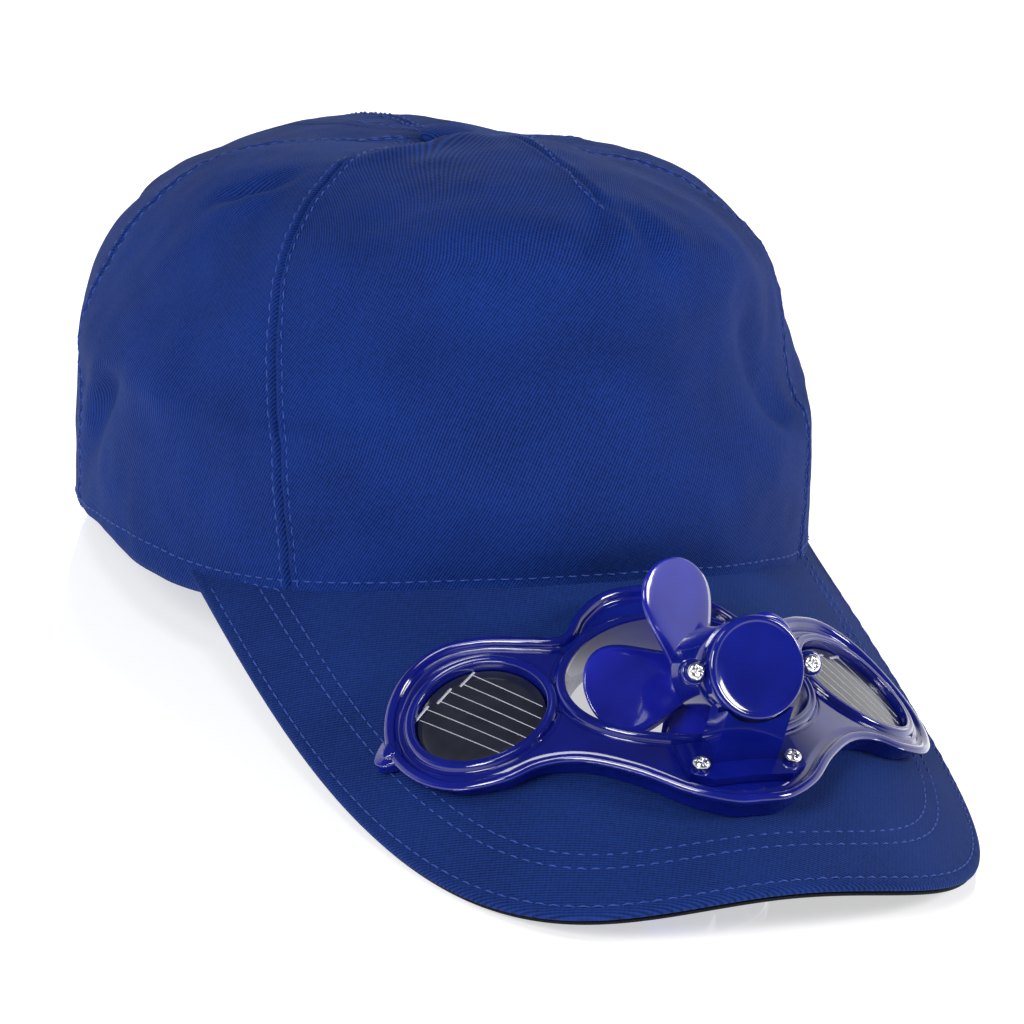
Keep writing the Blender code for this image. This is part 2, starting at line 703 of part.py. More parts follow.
def make_bracket():
    """The flange screwed to the frame's front lobe, and the post that carries the motor."""
    web_top = FRAME_HEIGHT - FRAME_LIP_HEIGHT
    flange_low = web_top + CLEARANCE
    loop = [(-FLANGE_HALF_WIDTH, FLANGE_BACK), (FLANGE_HALF_WIDTH, FLANGE_BACK),
            (FLANGE_HALF_WIDTH, FLANGE_FRONT - 0.003),
            (FLANGE_HALF_WIDTH - 0.004, FLANGE_FRONT),
            (-FLANGE_HALF_WIDTH + 0.004, FLANGE_FRONT),
            (-FLANGE_HALF_WIDTH, FLANGE_FRONT - 0.003)]
    bracket = slab("flange_blank", [loop], flange_low, flange_low + FLANGE_THICKNESS)
    bend_over_peak(bracket, CLEARANCE, arched=True)
    bracket.parent = PEAK
    post = bmesh.new()
    bmesh.ops.create_cube(post, size=1.0)
    foot = flange_low + FLANGE_THICKNESS / 2
    bmesh.ops.scale(post, verts=post.verts, vec=(
        2 * POST_HALF_WIDTH, POST_FRONT - POST_BACK, POST_HEIGHT))
    bmesh.ops.translate(post, verts=post.verts, vec=(
        0, -(POST_FRONT + POST_BACK) / 2, foot + POST_HEIGHT / 2))
    column = mesh_object("post", post, CUTTERS, PEAK)
    column.hide_render = True
    column.display_type = "WIRE"
    cut(bracket, column, "UNION")
    fit = 2 * CLEARANCE
    cut(bracket, cutter_rod("housing_seat", HOUSING_RADIUS + fit, -FAN_RADIUS,
                            FAN_RADIUS * 2, MOTOR, CUTTERS, steps=32))
    cut(bracket, cutter_rod("cap_seat", CAP_RADIUS + fit, HOUSING_FRONT, FAN_RADIUS * 2,
                            MOTOR, CUTTERS, steps=32))
    as_part(bracket, "motor_bracket", PEAK)
    drop = 1 - FRAME_END_DROP * (SCREW_SPACING / FRAME_HALF_LENGTH) ** 2
    angle = SCREW_SPACING / PEAK_BEND_RADIUS
    top = (flange_low + FLANGE_THICKNESS) * drop + CLEARANCE
    radius = PEAK_BEND_RADIUS + top
    forward = FLANGE_FRONT - SCREW_SETBACK
    for side, name in ((1, "bracket_screw_left"), (-1, "bracket_screw_right")):
        place = (side * radius * math.sin(angle), -forward,
                 radius * math.cos(angle) - PEAK_BEND_RADIUS)
        seat = empty(name + "_seat", PEAK, place, (0, side * angle, 0))
        hole = cutter_rod("flange_hole", SCREW_SHANK_RADIUS + CLEARANCE, -0.003, 0.002,
                          seat, CUTTERS, steps=10)
        cut(bracket, hole)
        screw(name, seat, (0, 0, 2 * CLEARANCE), FLANGE_THICKNESS)
    paint(bracket, BLUE_PLASTIC, 0.15)


def blade(index):
    """One fan blade: a rounded paddle set at its pitch, made thick."""
    shape = bmesh.new()
    bmesh.ops.create_grid(shape, x_segments=4, y_segments=6, size=0.5)
    pitch = math.radians(BLADE_PITCH)
    root = 0.6 * HUB_RADIUS
    spin = Matrix.Rotation(2 * math.pi * index / BLADE_COUNT
                           + math.radians(BLADE_TURN), 4, "Z")
    for vertex in shape.verts:
        share = vertex.co.y + 0.5
        reach = root + (FAN_RADIUS - root) * math.sin(share * math.pi / 2)
        swell = math.sin(share * math.pi / 2)
        fullness = BLADE_ROOT_SHARE + (BLADE_TIP_SHARE - BLADE_ROOT_SHARE) * swell
        width = BLADE_HALF_WIDTH * fullness * math.sqrt(BLADE_TIP_FILL - swell**BLADE_TIP_POWER)
        side = 2 * vertex.co.x * width
        out = math.sqrt(max(reach**2 - side**2, root**2 / 4))
        vertex.co = spin @ Vector((side * math.cos(pitch), out, side * math.sin(pitch)))
    piece = mesh_object("blade", shape, CUTTERS, MOTOR)
    wall = piece.modifiers.new("blade", "SOLIDIFY")
    wall.thickness = BLADE_THICKNESS
    wall.offset = 0
    piece.hide_render = True
    piece.display_type = "WIRE"
    return piece


def make_fan():
    """The fan on its steel shaft: a hub with its blades in one moulding."""
    bore_start = HUB_FRONT - SHAFT_SEAT
    fan = rod("fan", HUB_RADIUS, -HUB_BACK, HUB_FRONT, MOTOR, PARTS)
    for index in range(BLADE_COUNT):
        cut(fan, blade(index), "UNION")
    cut(fan, cutter_rod("hub_bore", SHAFT_RADIUS + CLEARANCE, bore_start,
                        HUB_FRONT + CUT_OVERRUN, MOTOR, CUTTERS, steps=12))
    paint(fan, BLUE_PLASTIC, 0.12)
    shaft = rod("motor_shaft", SHAFT_RADIUS, bore_start + CLEARANCE,
                HOUSING_BACK + SHAFT_SEAT - CLEARANCE, MOTOR, PARTS, steps=12)
    paint(shaft, STEEL, 0.2, 1.0)


def world_points(names):
    """World places of the vertices of the named parts, as evaluated."""
    bpy.context.view_layer.update()
    depsgraph = bpy.context.evaluated_depsgraph_get()
    points = []
    for item in PARTS.objects:
        if item.type == "MESH" and (names is None or item.name in names):
            evaluated = item.evaluated_get(depsgraph)
            points += [evaluated.matrix_world @ v.co for v in evaluated.data.vertices]
    return points


def rest_on_floor():
    """Tip the cap onto its peak's front corners and the back of its rim, over the origin."""
    for _ in range(4):
        front = min(world_points({"peak_underside"}), key=lambda p: p.z)
        rear = min(world_points({"back_panel_left", "back_panel_right"}), key=lambda p: p.z)
        CAP.rotation_euler.x -= math.atan2(rear.z - front.z, rear.y - front.y)
    points = world_points(None)
    CAP.location.x -= (max(p.x for p in points) + min(p.x for p in points)) / 2
    CAP.location.y -= (max(p.y for p in points) + min(p.y for p in points)) / 2
    CAP.location.z -= min(p.z for p in points)


clear_scene()
PARTS = new_collection("cooling_hat")
CUTTERS = new_collection("cooling_hat_cutters")
CAP = empty("cap_pose", None)
PEAK = empty("peak_frame", CAP, (0, -RIM_HALF_LENGTH, PEAK_LIFT),
             (math.radians(PEAK_SLOPE), 0, 0))
MOTOR = empty("motor_axis", PEAK, (0, -HUB_CENTRE, HUB_HEIGHT),
              (math.radians(90 - AXIS_RISE), 0, 0))
bpy.context.view_layer.update()
make_crown()
make_button()
make_strap()
make_peak()
make_frame()
make_tab()
make_housing()
make_bracket()
make_fan()
rest_on_floor()
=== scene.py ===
import json
import math
from collections import namedtuple

import bmesh
import bpy
import numpy as np
from mathutils import Matrix, Vector, noise


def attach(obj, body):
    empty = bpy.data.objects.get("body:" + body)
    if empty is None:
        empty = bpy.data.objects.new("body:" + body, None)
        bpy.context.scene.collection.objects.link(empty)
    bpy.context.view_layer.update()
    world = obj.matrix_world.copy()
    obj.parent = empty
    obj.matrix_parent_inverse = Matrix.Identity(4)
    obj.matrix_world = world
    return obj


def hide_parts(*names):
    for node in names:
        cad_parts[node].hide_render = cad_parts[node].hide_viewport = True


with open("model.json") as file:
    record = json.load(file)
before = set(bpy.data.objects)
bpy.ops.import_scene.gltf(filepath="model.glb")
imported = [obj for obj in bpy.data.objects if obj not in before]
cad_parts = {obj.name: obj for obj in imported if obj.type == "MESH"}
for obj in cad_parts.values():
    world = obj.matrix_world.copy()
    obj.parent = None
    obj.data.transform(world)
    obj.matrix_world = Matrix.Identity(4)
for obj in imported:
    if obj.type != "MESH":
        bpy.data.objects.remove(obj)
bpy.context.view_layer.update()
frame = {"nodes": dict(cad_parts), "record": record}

# The table, the light and the view. The cap lies on a white polished top under three soft
# lamps, with a white backdrop behind it in a dim room, and is seen from its right front, a
# little above.
LOOK_AT = Vector((-0.00622, -0.00771, 0.03777))
AZIMUTH, ELEVATION, ROLL = (math.radians(angle) for angle in (-25.44, 21.51, 6.81))
DISTANCE = 1.01256
camera = bpy.data.cameras.new("camera")
camera.lens = 157.7
camera.sensor_width = 36.0
viewer = bpy.data.objects.new("camera", camera)
bpy.context.scene.collection.objects.link(viewer)
back = Vector((math.sin(AZIMUTH) * math.cos(ELEVATION),
               -math.cos(AZIMUTH) * math.cos(ELEVATION), math.sin(ELEVATION)))
viewer.matrix_world = (Matrix.Translation(LOOK_AT + DISTANCE * back)
                       @ (-back).to_track_quat("-Z", "Y").to_matrix().to_4x4()
                       @ Matrix.Rotation(ROLL, 4, "Z"))
bpy.context.scene.camera = viewer
bpy.context.scene.view_settings.view_transform = "Standard"

studio = bpy.data.worlds.new("studio")
bpy.context.scene.world = studio
studio.use_nodes = True
sky = studio.node_tree
sky_place = sky.nodes.new("ShaderNodeTexCoord")
backdrop_side = sky.nodes.new("ShaderNodeVectorMath")
backdrop_side.operation = "DOT_PRODUCT"
backdrop_side.inputs[1].default_value = (0.43, 0.90, 0.0)
backdrop_edge = sky.nodes.new("ShaderNodeMapRange")
backdrop_edge.inputs["From Min"].default_value = -0.25
backdrop_edge.inputs["From Max"].default_value = 0.10
backdrop_height = sky.nodes.new("ShaderNodeSeparateXYZ")
backdrop_top = sky.nodes.new("ShaderNodeMapRange")
backdrop_top.inputs["From Min"].default_value = 0.62
backdrop_top.inputs["From Max"].default_value = 0.47
backdrop = sky.nodes.new("ShaderNodeMath")
backdrop.operation = "MULTIPLY"
room = sky.nodes.new("ShaderNodeMix")
room.data_type = "RGBA"
room.inputs["A"].default_value = (0.075, 0.080, 0.095, 1.0)
room.inputs["B"].default_value = (1.0, 1.0, 1.0, 1.0)
sky.links.new(sky_place.outputs["Generated"], backdrop_side.inputs[0])
sky.links.new(sky_place.outputs["Generated"], backdrop_height.inputs["Vector"])
sky.links.new(backdrop_side.outputs["Value"], backdrop_edge.inputs["Value"])
sky.links.new(backdrop_height.outputs["Z"], backdrop_top.inputs["Value"])
sky.links.new(backdrop_edge.outputs["Result"], backdrop.inputs[0])
sky.links.new(backdrop_top.outputs["Result"], backdrop.inputs[1])
sky.links.new(backdrop.outputs["Value"], room.inputs["Factor"])
sky.links.new(room.outputs["Result"], sky.nodes["Background"].inputs["Color"])

bpy.ops.mesh.primitive_plane_add(size=8)
table_top = bpy.context.object
table_top.name = "table_top"
polish = bpy.data.materials.new("polished_white")
polish.use_nodes = True
shader = polish.node_tree.nodes["Principled BSDF"]
shader.inputs["Base Color"].default_value = (0.93, 0.93, 0.94, 1.0)
shader.inputs["Roughness"].default_value = 0.04
shader.inputs["Metallic"].default_value = 0.30
shader.inputs["Emission Color"].default_value = (1.0, 1.0, 1.0, 1.0)
shader.inputs["Emission Strength"].default_value = 0.56
shader.inputs["IOR"].default_value = 1.5
table_top.data.materials.append(polish)


def softbox(name, place, aim, size, power):
    """A square lamp that shines from a place towards a point."""
    lamp = bpy.data.lights.new(name, "AREA")
    lamp.energy = power
    lamp.size = size
    holder = bpy.data.objects.new(name, lamp)
    bpy.context.scene.collection.objects.link(holder)
    holder.location = place
    holder.rotation_euler = (Vector(aim) - Vector(place)).to_track_quat("-Z", "Y").to_euler()


softbox("left_softbox", (-0.9, -0.7, 0.75), (0, 0, 0.05), 0.5, 13.0)
softbox("right_softbox", (0.95, -0.75, 0.75), (0, 0, 0.05), 0.4, 12.0)
softbox("top_softbox", (-0.5, -0.35, 1.25), (0, 0, 0.05), 0.4, 4.0)

# The crown: five panels of cotton twill, joined by pressed seams with the allowances turned
# inside and topstitched on both sides of each seam. The front panel is one wide piece taken
# in by a short dart, and the cloth stands by its own stiffness, with soft dents.
RIM_HALF_WIDTH = 0.0847
RIM_HALF_LENGTH = 0.0970
CROWN_HEIGHT = 0.0961
APEX_SETBACK = 0.0118
FRONT_SEAM_TURNS = (48.0, 64.0, 65.5)
BACK_SEAM_TURNS = (104.0, 112.0)
OPENING_HALF_TURN = 25.0
OPENING_RISE = 0.31
REAR_HEM_TURN = 143.0
HEM_BLEND_TURN = 25.0
BUTTON_RADIUS = 0.0070
BUTTON_STEM_RADIUS = 0.0028
CLOTH = 0.0016
CLEARANCE = 0.0003
SEAM_GAP = -0.0002
SEAM_ROLL = 0.0013
STITCH_SETBACK = 0.0021
HEM_TURN_UP = 0.0020
DART_LOW_RISE = 0.665
CROWN_ROWS = 96
HEM_DROP_SHARES = (1.0, 0.66, 0.33, 0.0)
STITCH_PITCH = 0.0029
# How deep the seams, stitches, hem and dart lie in the cloth, and how wide they are.
SEAM_SINK = 0.0009
SEAM_SWELL = 0.00022
SEAM_SWELL_WIDTH = 0.0008
SEAM_WAVE = 0.00013
SEAM_WAVE_REACH = 0.006
STITCH_SINK = 0.00016
STITCH_PUCKER = 0.00012
STITCH_SINK_WIDTH = 0.0005
HEM_SINK = 0.00018
HEM_SINK_WIDTH = 0.0006
HEM_ROLL = 0.0005
HEM_ROLL_REACH = 0.0010
DART_SINK = 0.0008
DART_SINK_WIDTH = 0.0005
DART_SWELL = 0.0003
DART_SWELL_PLACE = 0.0016
DART_SWELL_WIDTH = 0.0009
RUMPLE = 0.0009
# The crown laid out flat: metres for a degree of turn, and for the whole rise.
TURN_LENGTH = 0.0014
RISE_LENGTH = 0.135

PEAK_SLOPE = math.radians(19.0)
PEAK_BEND_RADIUS = 0.1147
PEAK_LIFT = 0.0232
PEAK_END_TURN = 72.5
PEAK_BOARD = 0.0018
PEAK_UNDERCLOTH = 0.0010
HUB_CENTRE = 0.0415
HUB_HEIGHT = 0.0072
AXIS_TILT = math.radians(90 - 41.2)

spin = frame["record"]["behaviour"]["joints"][0]
spin_axis = Vector(spin["axis"])
tip = math.atan2(-spin_axis.y, spin_axis.z) - PEAK_SLOPE - AXIS_TILT
cap_turn = Matrix.Rotation(tip, 4, "X")
peak_in_cap = (Matrix.Translation((0, -RIM_HALF_LENGTH, PEAK_LIFT))
               @ Matrix.Rotation(PEAK_SLOPE, 4, "X"))
hub_in_cap = peak_in_cap @ Vector((0, -HUB_CENTRE, HUB_HEIGHT))
cap_pose = Matrix.Translation(Vector(spin["pos_m"]) - cap_turn @ hub_in_cap) @ cap_turn
peak_pose = cap_pose @ peak_in_cap
motor_pose = (peak_pose @ Matrix.Translation((0, -HUB_CENTRE, HUB_HEIGHT))
              @ Matrix.Rotation(AXIS_TILT, 4, "X"))

CrownSection = namedtuple("CrownSection", "turn spread height")
CROWN_SECTIONS = (
    CrownSection(0, (1.04, 0.97, 1.00, 0.44), (0.19, 0.58, 1.03, 1.14)),
    CrownSection(45, (0.99, 0.91, 0.84, 0.46), (0.35, 0.51, 0.87, 1.04)),
    CrownSection(90, (0.98, 0.99, 0.81, 0.55), (0.32, 0.48, 0.80, 0.98)),
    CrownSection(135, (1.05, 1.01, 0.86, 0.50), (0.28, 0.60, 0.80, 0.94)),
    CrownSection(180, (1.03, 1.00, 0.84, 0.51), (0.29, 0.58, 0.84, 0.96)),
)
Dent = namedtuple("Dent", "turn rise turn_reach rise_reach depth")
CROWN_DENTS = (
    Dent(-4, 0.60, 9, 0.06, 0.022),
    Dent(2, 0.72, 5, 0.05, -0.018),
    Dent(-22, 0.56, 16, 0.05, 0.018),
    Dent(12, 0.52, 8, 0.10, 0.012),
    Dent(-66, 0.60, 12, 0.08, 0.016),
    Dent(-118, 0.30, 10, 0.20, 0.016),
    Dent(84, 0.16, 9, 0.10, 0.026),
    Dent(76, 0.34, 10, 0.10, -0.014),
    Dent(128, 0.40, 12, 0.16, 0.016),
)
# Narrow folds in the cloth, each a line from one turn and rise to another. Width and depth
# are in metres, and a negative depth stands proud.
Fold = namedtuple("Fold", "turn rise end_turn end_rise width depth")
CLOTH_FOLDS = (
    Fold(-84, 0.68, -72, 0.75, 0.0030, 0.0034),
    Fold(-82, 0.65, -71, 0.71, 0.0038, -0.0014),
    Fold(-87, 0.36, -98, 0.12, 0.0046, 0.0031),
    Fold(-92, 0.36, -103, 0.10, 0.0041, -0.0016),
    Fold(-1, 0.665, -8, 0.58, 0.0032, 0.0031),
    Fold(3, 0.65, 5, 0.58, 0.0032, 0.0025),
    Fold(-8, 0.565, -30, 0.605, 0.0046, 0.0028),
    Fold(-2, 0.60, 10, 0.53, 0.0041, 0.0022),
    Fold(-18, 0.525, -4, 0.515, 0.0049, 0.0020),
    Fold(-61, 0.81, -30, 0.895, 0.0041, -0.0022),
    Fold(-34, 0.892, -8, 0.86, 0.0041, -0.0022),
    Fold(24, 0.52, 38, 0.40, 0.0057, 0.0028),
    Fold(36, 0.40, 44, 0.26, 0.0054, 0.0025),
    Fold(120, 0.45, 112, 0.20, 0.0049, 0.0019),
    Fold(-125, 0.62, -138, 0.40, 0.0054, 0.0016),
    Fold(150, 0.60, 138, 0.42, 0.0054, 0.0014),
)


def through(stations, place):
    """Read smooth curves through evenly spaced stations, one column of them per place."""
    line = np.concatenate([2 * stations[:1] - stations[1:2], stations,
                           2 * stations[-1:] - stations[-2:-1]])
    spans = len(stations) - 1
    span = np.clip((place * spans).astype(int), 0, spans - 1)
    share = place * spans - span
    before, start, end, after = (line[span + step, np.arange(len(place))] for step in range(4))
    bend = 2 * before - 5 * start + 4 * end - after
    twist = -before + 3 * start - 3 * end + after
    return start + 0.5 * share * (end - before + share * (bend + share * twist))


def ease(share):
    """A step from 0 to 1 that starts and ends level."""
    share = np.clip(share, 0.0, 1.0)
    return share * share * (3 - 2 * share)


def around(values, turn):
    """Blend one value for each crown section round the head, alike on both sides."""
    folded = np.abs((turn + 180) % 360 - 180) / 180
    mirrored = np.array([values[1]] + list(values) + [values[-2]])
    spans = len(values) - 1
    table = np.repeat(mirrored[:, None], len(turn), axis=1)
    return through(table, (folded * spans + 1) / (spans + 2))


def peak_line(turn, grow=0.0):
    """Where the rim meets the peak's upper face: across, forward on the blank, and height."""
    angle = np.radians(turn)
    across = (RIM_HALF_WIDTH + grow) * np.sin(angle)
    behind = -(RIM_HALF_LENGTH + grow) * np.cos(angle)
    droop = np.sqrt(PEAK_BEND_RADIUS**2 - across**2) - PEAK_BEND_RADIUS
    forward = (-RIM_HALF_LENGTH - behind - droop * math.sin(PEAK_SLOPE)) / math.cos(PEAK_SLOPE)
    height = PEAK_LIFT - forward * math.sin(PEAK_SLOPE) + droop * math.cos(PEAK_SLOPE)
    return PEAK_BEND_RADIUS * np.arcsin(across / PEAK_BEND_RADIUS), forward, height


def rim_height(turn):
    """Height of the seam line: on the peak in front, easing down to the back of the rim."""
    turn = np.abs((turn + 180) % 360 - 180)
    settle = ease((turn - PEAK_END_TURN) / (REAR_HEM_TURN - PEAK_END_TURN))
    return peak_line(np.minimum(turn, PEAK_END_TURN))[2] * (1 - settle)


def hem_drop(turn):
    """How far the crown's hem reaches below the seam line, to cover the peak's edge."""
    turn = np.abs((turn + 180) % 360 - 180)
    tilt = peak_line(np.minimum(turn, PEAK_END_TURN))[0] / PEAK_BEND_RADIUS
    depth = (PEAK_BOARD + PEAK_UNDERCLOTH + CLEARANCE) / (np.cos(tilt) * math.cos(PEAK_SLOPE))
    return depth * (1 - ease((turn - PEAK_END_TURN) / HEM_BLEND_TURN))


def crown_points(turn, rise, inset=0.0):
    """Points of the crown's outer face, by turn in degrees and rise from 0 to 1."""
    angle = np.radians(turn)
    one, none = np.ones_like(turn), np.zeros_like(turn)
    spreads = [around([s.spread[i] for s in CROWN_SECTIONS], turn) for i in range(4)]
    heights = [around([s.height[i] for s in CROWN_SECTIONS], turn) for i in range(4)]
    spread = through(np.array([one] + spreads + [none]), rise)
    height = through(np.array([none] + heights + [one]), rise)
    press = np.full_like(turn, inset)
    for dent in CROWN_DENTS:
        off_turn = ((turn - dent.turn + 180) % 360 - 180) / dent.turn_reach
        off_rise = (rise - dent.rise) / dent.rise_reach
        press += dent.depth * CROWN_HEIGHT * np.exp(-off_turn**2 - off_rise**2)
    press *= 1 - ease((rise - 0.8) / 0.15)
    base = rim_height(turn)
    x = (RIM_HALF_WIDTH * spread - press) * np.sin(angle)
    y = -(RIM_HALF_LENGTH * spread - press) * np.cos(angle) + APEX_SETBACK * rise**2
    z = base + height * (CROWN_HEIGHT - base)
    off_apex = np.hypot(x, y - APEX_SETBACK)
    settle = ease((off_apex - BUTTON_RADIUS) / (2 * BUTTON_RADIUS))
    return np.stack([x, y, CROWN_HEIGHT + (z - CROWN_HEIGHT) * settle], axis=-1)


def button_hole_rise(turn):
    """The rise at which the panels stop round the button's stem."""
    low, high = np.full_like(turn, 0.8), np.ones_like(turn)
    for _ in range(16):
        middle = (low + high) / 2
        point = crown_points(turn, middle)
        reach = np.hypot(point[:, 0], point[:, 1] - APEX_SETBACK)
        outside = reach > BUTTON_STEM_RADIUS + 2 * CLEARANCE
        low, high = np.where(outside, middle, low), np.where(outside, high, middle)
    return low


def front_seam(rise):
    """Turn of the seam between the front panel and a side panel."""
    start, lean, end = FRONT_SEAM_TURNS
    return start + (lean - start) * rise + (end - lean) * rise**3


def back_seam(rise):
    """Turn of the seam between a side panel and a back panel."""
    start, end = BACK_SEAM_TURNS
    return start + (end - start) * rise


def opening_rise(turn):
    """Rise of the arched back opening's edge at a turn."""
    share = (180 - np.abs(turn)) / OPENING_HALF_TURN
    return OPENING_RISE * np.sqrt(np.maximum(0.0, 1 - share * share))


def to_world(points, pose):
    """Move an array of points by a pose."""
    turn = np.array(pose.to_3x3())
    return points @ turn.T + np.array(pose.translation)


def row_lengths(points, axis):
    """Running length along the rows or columns of a grid of points."""
    steps = np.linalg.norm(np.diff(points, axis=axis), axis=-1)
    return np.concatenate([np.zeros_like(np.take(steps, [0], axis=axis)),
                           np.cumsum(steps, axis=axis)], axis=axis)


def grid_faces(rows, columns, closed=False):
    """Quads between neighbouring rows, closed round each row if asked."""
    index = np.arange(rows * columns).reshape(rows, columns)
    if closed:
        index = np.concatenate([index, index[:, :1]], axis=1)
    return np.stack([index[:-1, :-1], index[:-1, 1:], index[1:, 1:], index[1:, :-1]],
                    axis=-1).reshape(-1, 4)


def mesh_piece(name, points, faces, flat=None):
    """A smooth mesh piece; flat holds each point's place on the flat cut, in metres."""
    mesh = bpy.data.meshes.new(name)
    mesh.from_pydata([tuple(p) for p in points.reshape(-1, 3).tolist()], [],
                     [tuple(f) for f in (faces.tolist() if hasattr(faces, "tolist") else faces)])
    if flat is not None:
        layer = mesh.uv_layers.new(name="cut")
        corners = np.zeros(len(mesh.loops), dtype=np.int32)
        mesh.loops.foreach_get("vertex_index", corners)
        layer.data.foreach_set("uv", flat.reshape(-1, 2)[corners].astype(np.float32).ravel())
    shape = bmesh.new()
    shape.from_mesh(mesh)
    bmesh.ops.remove_doubles(shape, verts=shape.verts, dist=1e-6)
    shape.to_mesh(mesh)
    shape.free()
    mesh.shade_smooth()
    piece = bpy.data.objects.new(name, mesh)
    bpy.context.scene.collection.objects.link(piece)
    return piece


def twill(name, light, dark, lean, pitch=0.00067):
    """Cotton twill: slanting ribs of yarn, with slubs, uneven dye, a soft nap, and painted shade
    that darkens the valleys between the ribs.
    """
    finish = bpy.data.materials.new(name)
    finish.use_nodes = True
    tree = finish.node_tree
    shader = tree.nodes["Principled BSDF"]
    shader.inputs["Roughness"].default_value = 0.78
    shader.inputs["Specular IOR Level"].default_value = 0.12
    shader.inputs["Sheen Weight"].default_value = 0.06
    shader.inputs["Sheen Roughness"].default_value = 0.45
    shader.inputs["Sheen Tint"].default_value = (0.25, 0.45, 1.0, 1.0)
    cut = tree.nodes.new("ShaderNodeUVMap")
    cut.uv_map = "cut"
    ribs_on = tree.nodes.new("ShaderNodeMapping")
    ribs_on.inputs["Rotation"].default_value = (0, 0, math.radians(lean))
    tree.links.new(cut.outputs["UV"], ribs_on.inputs["Vector"])
    ribs = tree.nodes.new("ShaderNodeTexWave")
    ribs.inputs["Scale"].default_value = 2 * math.pi / (20 * pitch)
    ribs.inputs["Distortion"].default_value = 0.6
    ribs.inputs["Detail Scale"].default_value = 0.4
    tree.links.new(ribs_on.outputs["Vector"], ribs.inputs["Vector"])
    floats = tree.nodes.new("ShaderNodeTexWave")
    floats.bands_direction = "Y"
    floats.inputs["Scale"].default_value = 2 * math.pi / (20 * pitch * 1.4)
    floats.inputs["Distortion"].default_value = 1.0
    tree.links.new(ribs_on.outputs["Vector"], floats.inputs["Vector"])
    slubs = tree.nodes.new("ShaderNodeTexNoise")
    slubs.inputs["Scale"].default_value = 900.0
    slubs.inputs["Detail"].default_value = 3.0
    tree.links.new(cut.outputs["UV"], slubs.inputs["Vector"])
    dye = tree.nodes.new("ShaderNodeTexNoise")
    dye.inputs["Scale"].default_value = 38.0
    dye.inputs["Detail"].default_value = 4.0
    tree.links.new(cut.outputs["UV"], dye.inputs["Vector"])
    weave = tree.nodes.new("ShaderNodeMath")
    weave.operation = "MULTIPLY_ADD"
    weave.inputs[1].default_value = 0.22
    tree.links.new(floats.outputs["Fac"], weave.inputs[0])
    tree.links.new(ribs.outputs["Fac"], weave.inputs[2])
    cloth = tree.nodes.new("ShaderNodeMath")
    cloth.operation = "MULTIPLY_ADD"
    cloth.inputs[1].default_value = 0.9
    tree.links.new(slubs.outputs["Fac"], cloth.inputs[0])
    tree.links.new(weave.outputs["Value"], cloth.inputs[2])
    # The colour mixes the real slubs and uneven dye with painted shade: the valleys between the
    # ribs are painted darker.
    dye_slubs_and_groove_shade = tree.nodes.new("ShaderNodeMath")
    dye_slubs_and_groove_shade.operation = "MULTIPLY_ADD"
    dye_slubs_and_groove_shade.inputs[1].default_value = 0.8
    tree.links.new(dye.outputs["Fac"], dye_slubs_and_groove_shade.inputs[0])
    tree.links.new(cloth.outputs["Value"], dye_slubs_and_groove_shade.inputs[2])
    spread = tree.nodes.new("ShaderNodeMapRange")
    spread.inputs["From Min"].default_value = 0.80
    spread.inputs["From Max"].default_value = 2.10
    tree.links.new(dye_slubs_and_groove_shade.outputs["Value"], spread.inputs["Value"])
    colour = tree.nodes.new("ShaderNodeMix")
    colour.data_type = "RGBA"
    colour.inputs["A"].default_value = dark
    colour.inputs["B"].default_value = light
    tree.links.new(spread.outputs["Result"], colour.inputs["Factor"])
    tree.links.new(colour.outputs["Result"], shader.inputs["Base Color"])
    relief = tree.nodes.new("ShaderNodeBump")
    relief.inputs["Strength"].default_value = 0.7
    relief.inputs["Distance"].default_value = 0.00018
    tree.links.new(cloth.outputs["Value"], relief.inputs["Height"])
    tree.links.new(relief.outputs["Normal"], shader.inputs["Normal"])
    return finish


# The dark end of the cloth colour serves the real dye and slubs, and the painted shade in the rib
# valleys.
CLOTH_LIGHT = (0.005, 0.034, 0.235, 1.0)
CLOTH_DARK = (0.0006, 0.006, 0.046, 1.0)
crown_twill = twill("crown_twill", CLOTH_LIGHT, CLOTH_DARK, 28)

NEAR_SEAM = np.array([0.0, 0.22, 0.45, 0.7, 1.0, 1.35, 1.7, 2.1, 2.5, 3.0, 3.8, 5.0]) / 1000
STITCH_COLUMN = 7


def row_shares(width, columns, dart):
    """Places across one row of cloth, close together beside each seam and the dart."""
    near = NEAR_SEAM * min(1.0, width / (6 * NEAR_SEAM[-1]))
    if not dart:
        middle = np.linspace(near[-1], width - near[-1], columns)[1:-1]
        return np.concatenate([near, middle, (width - near)[::-1]]) / width
    left = np.linspace(near[-1], width / 2 - near[-1], columns // 2)[1:-1]
    half = np.concatenate([near, left, (width / 2 - near[1:])[::-1]])
    return np.concatenate([half, [width / 2], width - half[::-1]]) / width


def dart_turn(rise):
    """How far the dart strays from the middle line, in degrees."""
    return -2.5 * np.exp(-((rise - 0.70) / 0.035) ** 2) + 2.5 * ease((rise - 0.74) / 0.1)


def relief_of_folds(turn, rise):
    """Depth of the narrow folds at places on the crown, in metres."""
    depth = np.zeros_like(turn)
    for fold in CLOTH_FOLDS:
        start = np.array([fold.turn * TURN_LENGTH, fold.rise * RISE_LENGTH])
        run = np.array([fold.end_turn * TURN_LENGTH, fold.end_rise * RISE_LENGTH]) - start
        off = np.stack([turn * TURN_LENGTH, rise * RISE_LENGTH], axis=-1) - start
        share = np.clip(off @ run / (run @ run), 0.0, 1.0)
        gap = np.linalg.norm(off - share[..., None] * run, axis=-1) / fold.width
        depth += fold.depth * np.exp(-gap**2) * (0.35 + 0.65 * np.sin(math.pi * share))
    return depth


def bump(off, width):
    """A smooth bell, 1 where off is none and fading over its width."""
    return np.exp(-((off / width) ** 2))


